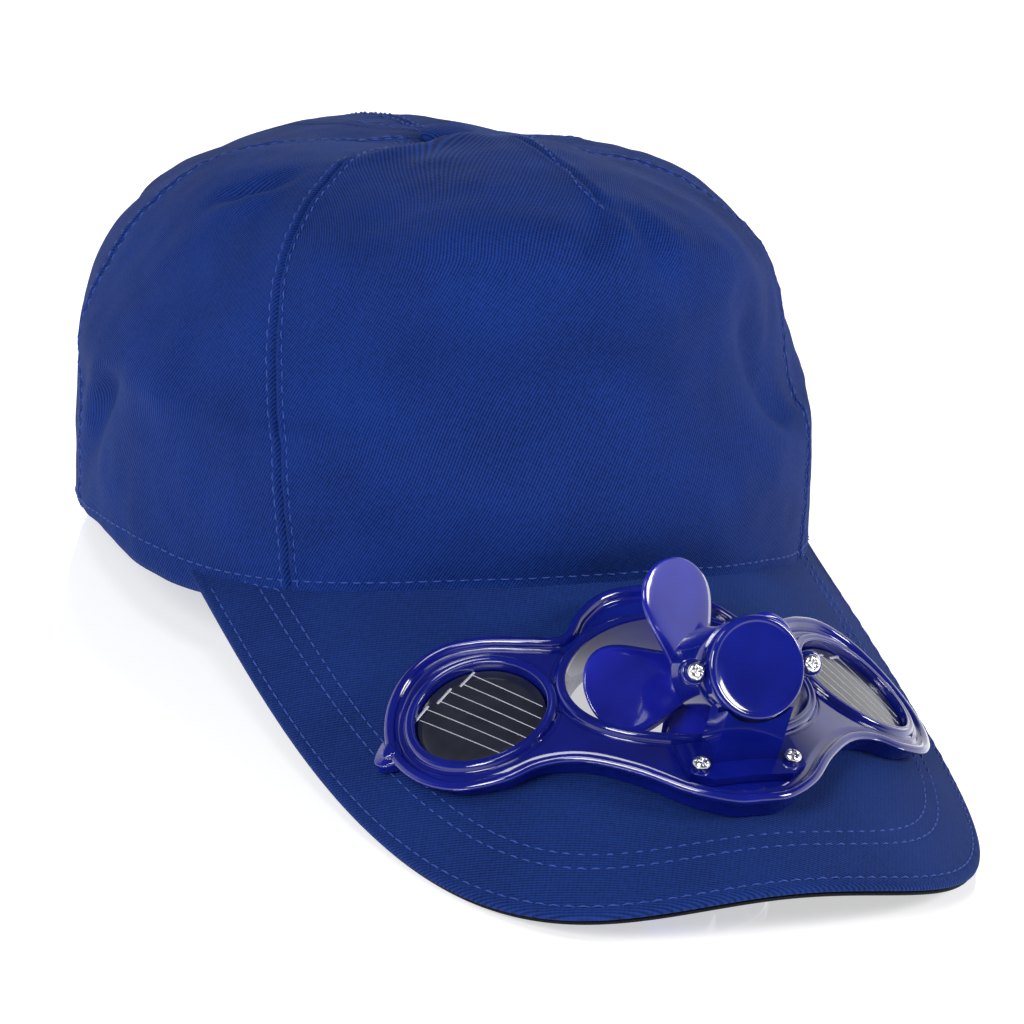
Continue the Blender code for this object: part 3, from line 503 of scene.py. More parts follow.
def sew_panel(name, from_turn, to_turn, columns, starts_at=None, dart=False):
    """One crown panel on a fine grid, rolled into its seams. Returns its stitch lines."""
    hem_rows = len(HEM_DROP_SHARES)
    climb = np.concatenate([np.zeros(hem_rows - 1), np.linspace(0, 1, CROWN_ROWS)])
    drop = np.zeros(len(climb))
    drop[:hem_rows] = HEM_DROP_SHARES

    def lay(shares):
        """Points, turns and rises for shares across each row."""
        first, last = from_turn(climb), to_turn(climb)
        turn = first[:, None] + (last - first)[:, None] * shares
        foot = starts_at(turn) if starts_at else np.zeros_like(turn)
        top = button_hole_rise(turn[-1])
        rise = foot + (top[None, :] - foot) * climb[:, None]
        first, last = from_turn(rise), to_turn(rise)
        turn = first + (last - first) * shares
        if dart:
            turn = turn + dart_turn(rise) * (1 - np.abs(2 * shares - 1)) ** 3
        points = crown_points(turn.ravel(), rise.ravel()).reshape(turn.shape + (3,))
        reach = np.hypot(points[..., 0], points[..., 1] - APEX_SETBACK)
        shift = np.degrees(SEAM_GAP / 2 / np.maximum(reach, BUTTON_STEM_RADIUS))
        moved = turn + shift * (1 - 2 * shares)
        points = crown_points(moved.ravel(), rise.ravel()).reshape(turn.shape + (3,))
        points[..., 2] -= hem_drop(turn) * drop[:, None] * (foot == 0)
        return points, turn, rise

    coarse = np.repeat(np.linspace(0, 1, 24)[None, :], len(climb), axis=0)
    widths = row_lengths(lay(coarse)[0], 1)[:, -1]
    shares = np.array([row_shares(width, columns, dart) for width in widths])
    points, turn, rise = lay(shares)
    along, up = row_lengths(points, 1), row_lengths(points, 0)
    width = along[:, -1:]
    normal = np.cross(np.gradient(points, axis=1), np.gradient(points, axis=0))
    normal /= np.maximum(np.linalg.norm(normal, axis=-1, keepdims=True), 1e-12)
    normal[:hem_rows] = normal[hem_rows]
    from_seam = np.minimum(along, width - along)
    settle = ease((0.985 - rise) / 0.06)
    sink = SEAM_SINK * (1 - np.clip(from_seam / SEAM_ROLL, 0, 1)) ** 2
    pucker = STITCH_PUCKER * (0.5 + 0.5 * np.sin(2 * math.pi * up / STITCH_PITCH))
    sink += (STITCH_SINK + pucker) * bump(from_seam - STITCH_SETBACK, STITCH_SINK_WIDTH)
    sink -= SEAM_SWELL * bump(from_seam - 1.2 * SEAM_ROLL, SEAM_SWELL_WIDTH)
    wave = np.sin(2 * math.pi * up / (2 * STITCH_PITCH))
    sink += SEAM_WAVE * wave * bump(from_seam, SEAM_WAVE_REACH)
    pucker = STITCH_PUCKER * np.sin(2 * math.pi * along / STITCH_PITCH)
    sink += (HEM_SINK + pucker) * bump(up - HEM_TURN_UP - hem_drop(turn), HEM_SINK_WIDTH)
    sink += HEM_ROLL * (1 - np.clip(up / HEM_ROLL_REACH, 0, 1)) ** 2
    if dart:
        from_dart = np.abs(along - width / 2)
        sewn = ease((rise - DART_LOW_RISE) / 0.02)
        sink += sewn * (DART_SINK * bump(from_dart, DART_SINK_WIDTH)
                        - DART_SWELL * bump(from_dart - DART_SWELL_PLACE, DART_SWELL_WIDTH))
    sink += relief_of_folds(turn, rise)
    rumple = np.array([noise.noise(Vector(p) * 42.0) + 0.45 * noise.noise(Vector(p) * 130.0)
                       for p in points.reshape(-1, 3).tolist()]).reshape(turn.shape)
    sink += RUMPLE * rumple
    points = points - normal * (sink * settle)[..., None]
    points = to_world(points, cap_pose)
    normal = normal @ np.array(cap_pose.to_3x3()).T
    flat = np.stack([along - width / 2, up], axis=-1)
    panel = mesh_piece(name + "_cloth", points, grid_faces(*turn.shape), flat)
    wall = panel.modifiers.new("cloth", "SOLIDIFY")
    wall.thickness = CLOTH
    wall.offset = -1
    panel.data.materials.append(crown_twill)
    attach(panel, "cap")
    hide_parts(name)
    seam_rows = slice(hem_rows - 1, int(len(climb) * 0.985))
    lines = [(points[seam_rows, column], normal[seam_rows, column])
             for column in (STITCH_COLUMN, -1 - STITCH_COLUMN)]
    if dart:
        middle = turn.shape[1] // 2
        sewn_rows = np.where(rise[:, middle] > DART_LOW_RISE - 0.01)[0][:-3]
        lines.append((points[sewn_rows, middle + 2], normal[sewn_rows, middle + 2]))
    hem_line, hem_normal = [], []
    for column in range(2, turn.shape[1] - 2):
        mark = HEM_TURN_UP + hem_drop(turn[:1, column])[0]
        row = min(int(np.searchsorted(up[:, column], mark)), len(climb) - 1)
        share = (mark - up[row - 1, column]) / max(up[row, column] - up[row - 1, column], 1e-9)
        hem_line.append(points[row - 1, column] * (1 - share) + points[row, column] * share)
        hem_normal.append(normal[row, column])
    lines.append((np.array(hem_line), np.array(hem_normal)))
    return lines


seam_lines = []
seam_lines += sew_panel("front_panel", lambda r: -front_seam(r), front_seam, 96, dart=True)
seam_lines += sew_panel("side_panel_left", front_seam, back_seam, 44)
seam_lines += sew_panel("side_panel_right", lambda r: -back_seam(r), lambda r: -front_seam(r), 44)
seam_lines += sew_panel("back_panel_left", back_seam, lambda r: np.full_like(r, 180.0), 54,
                        opening_rise)
seam_lines += sew_panel("back_panel_right", lambda r: np.full_like(r, -180.0),
                        lambda r: -back_seam(r), 54, opening_rise)

# The topstitching: one lockstitch thread, a little lighter than the cloth, that dips into
# it every three millimetres beside the seams, along the dart and above the hem.
STITCH_LENGTH = 0.0023
STITCH_RISE = 0.00016
STITCH_DIP = 0.00018
STITCH_RINGS = 6
THREAD_RADIUS = 0.00018
THREAD_SIDES = 6
THREAD_STEP = 0.0003


def thread_finish():
    """Polyester sewing thread, twisted and slightly glossy."""
    finish = bpy.data.materials.new("thread")
    finish.use_nodes = True
    tree = finish.node_tree
    shader = tree.nodes["Principled BSDF"]
    shader.inputs["Roughness"].default_value = 0.55
    shader.inputs["Sheen Weight"].default_value = 0.08
    speck = tree.nodes.new("ShaderNodeTexNoise")
    speck.inputs["Scale"].default_value = 420.0
    colour = tree.nodes.new("ShaderNodeMix")
    colour.data_type = "RGBA"
    colour.inputs["A"].default_value = (0.005, 0.028, 0.20, 1.0)
    colour.inputs["B"].default_value = (0.012, 0.062, 0.38, 1.0)
    tree.links.new(speck.outputs["Fac"], colour.inputs["Factor"])
    tree.links.new(colour.outputs["Result"], shader.inputs["Base Color"])
    return finish


def resample(line, normals, pitch):
    """Points and normals at even steps along a line."""
    run = row_lengths(line[None], 1)[0]
    marks = np.arange(pitch / 2, run[-1], pitch)
    return [np.stack([np.interp(marks, run, track[:, axis]) for axis in range(3)], axis=-1)
            for track in (line, normals)]


def stitch_rows(name, lines, material):
    """All the stitches along a set of lines, each a short arched thread."""
    points, faces = [], []
    pitch = int(round(STITCH_PITCH / THREAD_STEP))
    length = int(round(STITCH_LENGTH / THREAD_STEP))
    arch = np.sin(np.linspace(0, math.pi, STITCH_RINGS))
    lift = STITCH_RISE * arch - STITCH_DIP * (1 - arch)
    for line, normals in lines:
        fine, fine_normals = resample(line, normals, THREAD_STEP)
        for start in range(0, len(fine) - length - 1, pitch):
            picks = np.linspace(start, start + length, STITCH_RINGS).round().astype(int)
            spine, up = fine[picks], fine_normals[picks]
            ahead = np.gradient(spine, axis=0)
            ahead /= np.linalg.norm(ahead, axis=1, keepdims=True) + 1e-12
            aside = np.cross(ahead, up)
            spine = spine + up * lift[:, None]
            first = len(points)
            for ring in range(STITCH_RINGS):
                thick = THREAD_RADIUS * (0.55 + 0.45 * arch[ring])
                for side in range(THREAD_SIDES):
                    angle = 2 * math.pi * side / THREAD_SIDES
                    points.append(spine[ring] + thick * (math.cos(angle) * aside[ring]
                                                         + math.sin(angle) * up[ring]))
            faces += [tuple(first + corner for corner in face)
                      for face in grid_faces(STITCH_RINGS, THREAD_SIDES, closed=True).tolist()]
            last = first + (STITCH_RINGS - 1) * THREAD_SIDES
            faces += [tuple(first + side for side in reversed(range(THREAD_SIDES))),
                      tuple(last + side for side in range(THREAD_SIDES))]
    piece = mesh_piece(name, np.array(points), faces)
    piece.data.materials.append(material)
    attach(piece, "cap")
    return piece


thread = thread_finish()
stitch_rows("crown_topstitching", seam_lines, thread)

# The button: a metal blank covered with the crown's twill, pinned over the point where the
# five panels meet.
BUTTON_HEIGHT = 0.0034
BUTTON_STEM_LENGTH = 0.0040


def turned_rows(profile, pose, steps=64):
    """Rows of points for a turned shape: its profile of radius and height, spun round Z."""
    angle = np.linspace(0, 2 * math.pi, steps, endpoint=False)
    rows = [np.stack([r * np.cos(angle), r * np.sin(angle), np.full(steps, z)], axis=-1)
            for r, z in profile]
    return to_world(np.array(rows).reshape(-1, 3), pose).reshape(len(profile), steps, 3)


def turned(profile, pose, steps=64):
    """Points and faces of a turned shape, closed at both ends of its profile."""
    size = len(profile) * steps
    faces = grid_faces(len(profile), steps, True).tolist()
    faces += [tuple(range(steps))[::-1], tuple(range(size - steps, size))]
    return turned_rows(profile, pose, steps).reshape(-1, 3), faces


def arc_steps(centre_r, centre_z, radius_r, radius_z, start, end, count):
    """Profile points along a quarter or other part of an ellipse, in degrees."""
    return [(centre_r + radius_r * math.cos(math.radians(a)),
             centre_z + radius_z * math.sin(math.radians(a)))
            for a in np.linspace(start, end, count)]


button_pose = cap_pose @ Matrix.Translation((0, APEX_SETBACK, CROWN_HEIGHT))
button_profile = arc_steps(0.00002, CLEARANCE + 0.3 * BUTTON_HEIGHT, BUTTON_RADIUS,
                           0.7 * BUTTON_HEIGHT, 90, 0, 14)
button_profile += [(BUTTON_RADIUS * 0.99, 0.0007), (BUTTON_RADIUS * 0.96, CLEARANCE),
                   (BUTTON_STEM_RADIUS, CLEARANCE),
                   (BUTTON_STEM_RADIUS, CLEARANCE - BUTTON_STEM_LENGTH),
                   (0.00002, CLEARANCE - BUTTON_STEM_LENGTH)]
button_rows = turned_rows(button_profile, button_pose)[:, ::-1]
button_flat = np.array([[(r * math.cos(a), r * math.sin(a)) for a in
                         np.linspace(0, 2 * math.pi, 64, endpoint=False)]
                        for r, _ in button_profile])
button = mesh_piece("covered_button", button_rows, grid_faces(len(button_profile), 64, True),
                    button_flat)
button.data.materials.append(crown_twill)
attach(button, "cap")
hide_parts("top_button")

# The back strap: one plain band of doubled twill across the opening, stitched near its
# edges and fixed inside the back panels.
STRAP_HALF_TURN = 33.0
STRAP_WIDTH = 0.0155
STRAP_THICKNESS = 0.0015
STRAP_HEIGHT_AT_HEM = 0.0015


def rise_at(turn, height):
    """The rise at which the crown reaches each height, low on its back."""
    low, high = np.zeros_like(turn), np.full_like(turn, 0.5)
    for _ in range(16):
        middle = (low + high) / 2
        below = crown_points(turn, middle)[:, 2] < height
        low, high = np.where(below, middle, low), np.where(below, high, middle)
    return low


strap_turn, strap_share = np.meshgrid(
    np.linspace(180 + STRAP_HALF_TURN, 180 - STRAP_HALF_TURN, 90), np.linspace(0, 1, 17))
strap_height = STRAP_HEIGHT_AT_HEM + STRAP_WIDTH * strap_share
strap_points = crown_points(strap_turn.ravel(), rise_at(strap_turn.ravel(), strap_height.ravel()),
                            CLOTH + 6 * CLEARANCE)
strap_points[:, 2] = strap_height.ravel()
strap_points = strap_points.reshape(strap_turn.shape + (3,))
strap_along, strap_up = row_lengths(strap_points, 1), row_lengths(strap_points, 0)
strap_normal = np.cross(np.gradient(strap_points, axis=0), np.gradient(strap_points, axis=1))
strap_normal /= np.linalg.norm(strap_normal, axis=-1, keepdims=True)
from_edge = np.minimum(strap_up, strap_up[-1:] - strap_up)
strap_sink = 0.0002 * np.exp(-((from_edge - 0.002) / 0.0006) ** 2)
strap_points = to_world((strap_points - strap_normal * strap_sink[..., None]).reshape(-1, 3),
                        cap_pose).reshape(strap_turn.shape + (3,))
strap = mesh_piece("strap_band", strap_points, grid_faces(*strap_turn.shape)[:, ::-1],
                   np.stack([strap_along, strap_up], axis=-1))
wall = strap.modifiers.new("band", "SOLIDIFY")
wall.thickness = STRAP_THICKNESS
wall.offset = -1
strap.data.materials.append(crown_twill)
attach(strap, "cap")
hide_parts("back_strap")
strap_world_normal = strap_normal @ np.array(cap_pose.to_3x3()).T
stitch_rows("strap_topstitching",
            [(strap_points[row, 2:-2], strap_world_normal[row, 2:-2]) for row in (2, -3)], thread)

# The peak: twill glued over a stiff board and sewn round its edge, with two more rows of
# stitching inside it, and a black cloth underneath. Both are cut out for the fan's sleeve.
PEAK_HALF_WIDTH = 0.0801
PEAK_LENGTH = 0.1022
PEAK_CORNER_POWER = 3.4
HOLE_CENTRE = 0.0410
HOLE_HALF_WIDTH = 0.0260
HOLE_HALF_DEPTH = 0.0195
SLEEVE_WALL = 0.0015
EDGE_ROW = 0.0028
INNER_ROWS = (0.0132, 0.0171)
PEAK_COLUMNS = 230
PEAK_TOP_ROWS = 44
PEAK_LOW_ROWS = 30
COVER_TOP_STEPS = 9
FRAME_HALF_LENGTH = 0.0640
FRAME_END_DROP = 0.45
INNER_SWAY = 1.0 - 0.30 * np.abs(np.linspace(-1, 1, PEAK_COLUMNS)) ** 6
# The cover's section at its edge: how far in from the outline, and height over the blank.
COVER_EDGE = ((0.0090, 0), (0.0065, 0), (0.0050, 0), (0.0040, 0.00003), (0.0033, -0.00005),
              (0.0028, -0.00020), (0.0023, -0.00004), (0.0017, 0.00006), (0.0012, 0),
              (0.0008, -0.00010), (0.0004, -0.00035), (0.0001, -0.00075), (0.0, -0.0011),
              (0.0001, -0.0014), (0.0004, -0.0017), (0.0010, -0.0018), (0.0060, -0.0018))
UNDER_EDGE = ((0.0060, -0.0021), (0.0010, -0.0021), (0.0004, -0.0022), (0.0002, -0.0025),
              (0.0003, -0.0028), (0.0008, -0.0030), (0.0016, -0.0031), (0.0024, -0.0030),
              (0.0028, -0.0029), (0.0033, -0.0030), (0.0042, -0.0031), (0.0065, -0.0031))


def bent(u, v, height, seat=0.0, arched=False):
    """Points over the peak: u across, v forward from the rim, and height above the blank."""
    u, v, height = (np.asarray(value, dtype=float) for value in (u, v, height))
    if arched:
        low_ends = 1 - FRAME_END_DROP * (u / FRAME_HALF_LENGTH) ** 2
        height = np.where(height > 0, height * low_ends, height)
    radius = PEAK_BEND_RADIUS + height + seat
    angle = u / PEAK_BEND_RADIUS
    local = np.stack([radius * np.sin(angle), -v + 0 * angle,
                      radius * np.cos(angle) - PEAK_BEND_RADIUS], axis=-1)
    return to_world(local.reshape(-1, 3), peak_pose).reshape(local.shape)


def even(line, count, closed=False):
    """The same outline with evenly spaced points."""
    line = np.array(line)
    if closed:
        line = np.concatenate([line, line[:1]])
    run = row_lengths(line[None], 1)[0]
    marks = np.linspace(0, run[-1], count, endpoint=not closed)
    return np.stack([np.interp(marks, run, line[:, axis]) for axis in (0, 1)], axis=-1)


def peak_edge():
    """The peak's outer edge from the wearer's right to left."""
    corner_u, corner_v, _ = peak_line(np.array([PEAK_END_TURN]), -2 * CLOTH)
    angle = np.radians(np.linspace(-90, 90, 4001))
    power = 2 / PEAK_CORNER_POWER
    side = np.sign(angle) * np.abs(np.sin(angle)) ** power
    reach = np.maximum(np.cos(angle), 0.0) ** power
    narrowing = (1 - reach) * (1 - corner_u / PEAK_HALF_WIDTH)
    return np.stack([PEAK_HALF_WIDTH * side * (1 - narrowing),
                     corner_v + (PEAK_LENGTH - corner_v) * reach], axis=-1)


outer = even(peak_edge(), PEAK_COLUMNS)
rim_turns = np.linspace(-PEAK_END_TURN, PEAK_END_TURN, 400)
rim = even(np.stack(peak_line(rim_turns, -CLOTH)[:2], axis=-1), PEAK_COLUMNS)
run_out = outer - rim
run_length = np.maximum(np.linalg.norm(run_out, axis=1), 1e-6)
edge_ahead = np.gradient(outer, axis=0)
edge_ahead /= np.linalg.norm(edge_ahead, axis=1, keepdims=True)
edge_out = np.stack([-edge_ahead[:, 1], edge_ahead[:, 0]], axis=-1)
slant = np.clip(np.abs(np.sum(edge_out * run_out, axis=1)) / run_length, 0.25, 1.0)


def peak_row(inset):
    """The blank's points at a distance in from its outer edge."""
    share = 1 - np.minimum(inset / slant / run_length, 0.94)
    return rim + run_out * share[:, None]


def peak_sheet(name, node, section, material):
    """A closed layer of the peak: a fine top, its rolled edge and its lower face."""
    top, low = section[0], section[-1]
    rows, heights = [], []
    first = 1 - np.minimum(top[0] / slant / run_length, 0.94)
    for share in np.linspace(0, 1, PEAK_TOP_ROWS)[:-1]:
        rows.append(rim + run_out * (share * first)[:, None])
        heights.append(np.full(PEAK_COLUMNS, top[1]))
    for inset, height in section:
        rows.append(peak_row(inset))
        heights.append(np.full(PEAK_COLUMNS, height))
    last = 1 - np.minimum(low[0] / slant / run_length, 0.94)
    for share in np.linspace(1, 0, PEAK_LOW_ROWS)[1:]:
        rows.append(rim + run_out * (share * last)[:, None])
        heights.append(np.full(PEAK_COLUMNS, low[1]))
    rows, heights = np.array(rows), np.array(heights)
    inset = np.linalg.norm(rows - outer[None], axis=-1) * slant[None]
    along = row_lengths(outer[None], 1)
    if node == "peak_top":
        upper = np.arange(len(rows))[:, None] < PEAK_TOP_ROWS - 1 + COVER_TOP_STEPS
        for row_inset in INNER_ROWS:
            puckers = 0.00011 + 0.00005 * np.sin(2 * math.pi * along / STITCH_PITCH)
            heights -= upper * puckers * bump(inset - row_inset * INNER_SWAY, 0.0006)
        wave = np.array([noise.noise(Vector((u * 60, v * 60, 0.4))) for u, v in
                         rows.reshape(-1, 2).tolist()]).reshape(heights.shape)
        heights += upper * 0.00018 * wave
        ripple = 0.00012 * np.sin(2 * math.pi * along / (2 * STITCH_PITCH))
        heights += upper * ripple * bump(inset, 0.004)
    grow = SLEEVE_WALL + CLEARANCE
    off_hole = np.hypot(rows[..., 0] / (HOLE_HALF_WIDTH + grow),
                        (rows[..., 1] - HOLE_CENTRE) / (HOLE_HALF_DEPTH + grow))
    pushed = 1 / np.clip(off_hole, 0.5, 1)
    rows = np.stack([rows[..., 0] * pushed, HOLE_CENTRE + (rows[..., 1] - HOLE_CENTRE) * pushed],
                    axis=-1)
    points = bent(rows[..., 0], rows[..., 1], heights)
    closing = np.arange(len(rows) * PEAK_COLUMNS).reshape(len(rows), -1)
    faces = np.concatenate([grid_faces(len(rows), PEAK_COLUMNS), np.stack(
        [closing[-1, :-1], closing[-1, 1:], closing[0, 1:], closing[0, :-1]], axis=-1)])
    faces = faces[(off_hole.ravel()[faces] > 1).any(axis=1)]
    layer = mesh_piece(name, points, faces, rows)
    shape = bmesh.new()
    shape.from_mesh(layer.data)
    bmesh.ops.delete(shape, geom=[v for v in shape.verts if not v.link_faces], context="VERTS")
    hole_middle = Vector(bent([0.0], [HOLE_CENTRE], [0.0])[0])
    open_edges = [e for e in shape.edges if e.is_boundary]
    round_hole = [e for e in open_edges
                  if (e.verts[0].co - hole_middle).length < 1.4 * HOLE_HALF_WIDTH]
    bmesh.ops.bridge_loops(shape, edges=round_hole)
    bmesh.ops.holes_fill(shape, edges=[e for e in shape.edges if e.is_boundary])
    bmesh.ops.recalc_face_normals(shape, faces=shape.faces)
    shape.to_mesh(layer.data)
    shape.free()
    layer.data.materials.clear()
    layer.data.materials.append(material)
    layer.data.shade_smooth()
    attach(layer, "cap")
    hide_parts(node)
    return layer


peak_twill = twill("peak_twill", (0.006, 0.031, 0.195, 1.0), (0.001, 0.007, 0.052, 1.0), 62)
under_cloth = twill("under_cloth", (0.012, 0.012, 0.014, 1.0), (0.003, 0.003, 0.004, 1.0), 0,
                    0.0005)
cover = peak_sheet("peak_cover", "peak_top", COVER_EDGE, peak_twill)
under = peak_sheet("peak_under_cloth", "peak_underside", UNDER_EDGE, under_cloth)


def peak_stitch_line(inset, keep):
    """A stitch line on the peak, with the surface's normals."""
    line = peak_row(inset)
    picks = slice(int(PEAK_COLUMNS * keep), int(PEAK_COLUMNS * (1 - keep)))
    line = line[picks]
    points = bent(line[:, 0], line[:, 1], np.full(len(line), -0.00008))
    over = bent(line[:, 0], line[:, 1], np.full(len(line), 0.001))
    normals = over - points
    return points, normals / np.linalg.norm(normals, axis=1, keepdims=True)


stitch_rows("peak_topstitching",
            [peak_stitch_line(EDGE_ROW, 0.07)]
            + [peak_stitch_line(row * INNER_SWAY, 0.115) for row in INNER_ROWS], thread)

# The fan frame: one moulding of glossy see-through blue plastic, shaped like spectacles,
# with a rounded bead round its edge and a raised ring round the hole and each cell. Its
# sleeve passes through the peak.
FRAME_DEPTH = 0.0720
FRAME_BACK = 0.0100
SLEEVE_DEPTH = 0.0050
CELL_SPACING = 0.0436
CELL_CENTRE = 0.0360
CELL_RADIUS = 0.0134
FRAME_OUTLINE = (
    (0.00, 0.00), (0.14, 0.02), (0.25, 0.09), (0.33, 0.17), (0.43, 0.14), (0.56, 0.08),
    (0.70, 0.05), (0.84, 0.09), (0.95, 0.20), (1.00, 0.35), (0.96, 0.50), (0.86, 0.61),
    (0.72, 0.66), (0.59, 0.66), (0.47, 0.70), (0.34, 0.80), (0.22, 0.92), (0.10, 0.99),
    (0.00, 1.00),
)
# Sections of the moulding: distance in from an edge, or out from a ring, and height.
RIM_SECTION = ((0.00240, 0.0001), (0.00230, 0.0012), (0.00200, 0.0034), (0.00150, 0.0043),
               (0.00105, 0.0047), (0.00055, 0.0049), (0.00018, 0.0053), (0.00003, 0.0058),
               (0.00018, 0.0064), (0.00055, 0.0068), (0.00118, 0.0070), (0.00175, 0.0068),
               (0.00212, 0.0064), (0.00232, 0.0058), (0.00248, 0.0053), (0.00275, 0.0050),
               (0.00310, 0.0050), (0.00345, 0.0052), (0.0039, 0.00540), (0.0046, 0.00548))
RING_SECTION = ((0.0, 0.0040), (0.0, 0.0062), (0.00006, 0.00655), (0.00020, 0.00675),
                (0.00040, 0.00675), (0.00058, 0.00660), (0.00085, 0.00675), (0.00125, 0.0070),
                (0.00165, 0.0069), (0.00200, 0.0065), (0.00224, 0.0059), (0.00240, 0.0054),
                (0.0027, 0.0052), (0.0030, 0.0053), (0.0034, 0.00549))


def smooth_outline(half, count):
    """A closed smooth outline through half its points and their mirror."""
    whole = np.array(list(half) + [(-u, v) for u, v in half[-2:0:-1]])
    size = len(whole)
    ring = np.concatenate([whole[-3:], whole, whole[:3]])
    place = (np.linspace(0, size, 8 * size, endpoint=False) + 3) / (len(ring) - 1)
    tracks = [through(np.repeat(ring[:, axis:axis + 1], len(place), axis=1), place)
              for axis in (0, 1)]
    return even(np.stack(tracks, axis=-1), count, closed=True)


def inward(loop, inset):
    """A closed loop moved in from its own edge."""
    ahead = np.roll(loop, -1, axis=0) - np.roll(loop, 1, axis=0)
    ahead /= np.linalg.norm(ahead, axis=1, keepdims=True)
    after = np.roll(loop, -1, axis=0)
    turn = np.sign(np.sum(loop[:, 0] * after[:, 1] - loop[:, 1] * after[:, 0]))
    return loop + turn * inset * np.stack([-ahead[:, 1], ahead[:, 0]], axis=-1)


def oval(centre_u, centre_v, half_width, half_depth, count):
    """Points round an oval on the blank."""
    angle = np.linspace(0, 2 * math.pi, count, endpoint=False)
    return np.stack([centre_u + half_width * np.cos(angle),
                     centre_v + half_depth * np.sin(angle)], axis=-1)


def swept(loop, section, way=1):
    """Points and faces of a section led round a loop on the peak; way -1 leads it outside."""
    rows = [inward(loop, way * inset) for inset, _ in section]
    points = np.array([bent(row[:, 0], row[:, 1], np.full(len(row), height), CLEARANCE, True)
                       for row, (_, height) in zip(rows, section)])
    return points.reshape(-1, 3), grid_faces(len(section), len(loop), closed=True).tolist()


def gather(*shapes):
    """Several point and face sets as one."""
    points, faces = [], []
    for some_points, some_faces in shapes:
        first = sum(len(p) for p in points)
        points.append(some_points)
        faces += [tuple(first + corner for corner in face) for face in some_faces]
    return np.concatenate(points), faces


def flat_fill(loops, height, spacing):
    """A flat web between loops, cut in strips so that it bends smoothly over the peak."""
    curve = bpy.data.curves.new("web", "CURVE")
    curve.dimensions = "2D"
    curve.fill_mode = "BOTH"
    for loop in loops:
        spline = curve.splines.new("POLY")
        spline.points.add(len(loop) - 1)
        spline.use_cyclic_u = True
        for point, (u, v) in zip(spline.points, loop):
            point.co = (u, v, 0, 1)
    holder = bpy.data.objects.new("web", curve)
    bpy.context.scene.collection.objects.link(holder)
    bpy.context.view_layer.update()
    mesh = bpy.data.meshes.new_from_object(
        holder.evaluated_get(bpy.context.evaluated_depsgraph_get()))
    bpy.data.objects.remove(holder, do_unlink=True)
    shape = bmesh.new()
    shape.from_mesh(mesh)
    bmesh.ops.remove_doubles(shape, verts=shape.verts, dist=1e-6)
    reach = max(abs(vertex.co.x) for vertex in shape.verts)
    for axis in ((1, 0, 0), (0, 1, 0)):
        strips = int(2 * reach / spacing)
        for strip in range(-strips, strips + 1):
            everything = shape.verts[:] + shape.edges[:] + shape.faces[:]
            bmesh.ops.bisect_plane(shape, geom=everything, dist=1e-7, plane_no=axis,
                                   plane_co=Vector(axis) * strip * spacing)
    shape.verts.ensure_lookup_table()
    flat = np.array([vertex.co[:2] for vertex in shape.verts])
    faces = [tuple(vertex.index for vertex in face.verts) for face in shape.faces]
    shape.free()
    return bent(flat[:, 0], flat[:, 1], np.full(len(flat), height), CLEARANCE, True), faces


def gloss_plastic(name, deep, bright, roughness=0.09):
    """Moulded see-through plastic: deep colour, a wet gloss and faint flow marks."""
    finish = bpy.data.materials.new(name)
    finish.use_nodes = True
    tree = finish.node_tree
    shader = tree.nodes["Principled BSDF"]
    shader.inputs["IOR"].default_value = 1.52
    shader.inputs["Coat Weight"].default_value = 0.6
    shader.inputs["Coat Roughness"].default_value = 0.03
    shader.inputs["Subsurface Weight"].default_value = 0.18
    shader.inputs["Subsurface Radius"].default_value = (0.2, 0.25, 1.0)
    shader.inputs["Subsurface Scale"].default_value = 0.002
    flow = tree.nodes.new("ShaderNodeTexNoise")
    flow.inputs["Scale"].default_value = 85.0
    flow.inputs["Detail"].default_value = 2.0
    place = tree.nodes.new("ShaderNodeTexCoord")
    tree.links.new(place.outputs["Object"], flow.inputs["Vector"])
    colour = tree.nodes.new("ShaderNodeMix")
    colour.data_type = "RGBA"
    colour.inputs["A"].default_value = deep
    colour.inputs["B"].default_value = bright
    tree.links.new(flow.outputs["Fac"], colour.inputs["Factor"])
    tree.links.new(colour.outputs["Result"], shader.inputs["Base Color"])
    gloss = tree.nodes.new("ShaderNodeMapRange")
    gloss.inputs["To Min"].default_value = roughness * 0.7
    gloss.inputs["To Max"].default_value = roughness * 1.5
    tree.links.new(flow.outputs["Fac"], gloss.inputs["Value"])
    tree.links.new(gloss.outputs["Result"], shader.inputs["Roughness"])
    relief = tree.nodes.new("ShaderNodeBump")
    relief.inputs["Strength"].default_value = 0.12
    relief.inputs["Distance"].default_value = 0.0002
    tree.links.new(flow.outputs["Fac"], relief.inputs["Height"])
    tree.links.new(relief.outputs["Normal"], shader.inputs["Normal"])
    return finish


blue_plastic = gloss_plastic("blue_plastic", (0.001, 0.003, 0.090, 1.0),
                             (0.005, 0.011, 0.240, 1.0))
outline = smooth_outline([(u * FRAME_HALF_LENGTH, FRAME_BACK + v * FRAME_DEPTH)
                          for u, v in FRAME_OUTLINE], 420)
hole_loop = oval(0, HOLE_CENTRE, HOLE_HALF_WIDTH, HOLE_HALF_DEPTH, 160)
cell_loops = [oval(side * CELL_SPACING, CELL_CENTRE, CELL_RADIUS + CLEARANCE,
                   CELL_RADIUS + CLEARANCE, 96) for side in (-1, 1)]
sleeve = [(SLEEVE_WALL, 0.0039), (SLEEVE_WALL, -SLEEVE_DEPTH), (0.0012, -SLEEVE_DEPTH),
          (0.0003, -SLEEVE_DEPTH), (0.0, -SLEEVE_DEPTH + 0.0003)]
parts = [swept(outline, RIM_SECTION), swept(hole_loop, tuple(sleeve) + RING_SECTION, -1)]
parts += [swept(loop, ((0.0006, 0.0024), (0.0, 0.0026)) + RING_SECTION, -1) for loop in cell_loops]
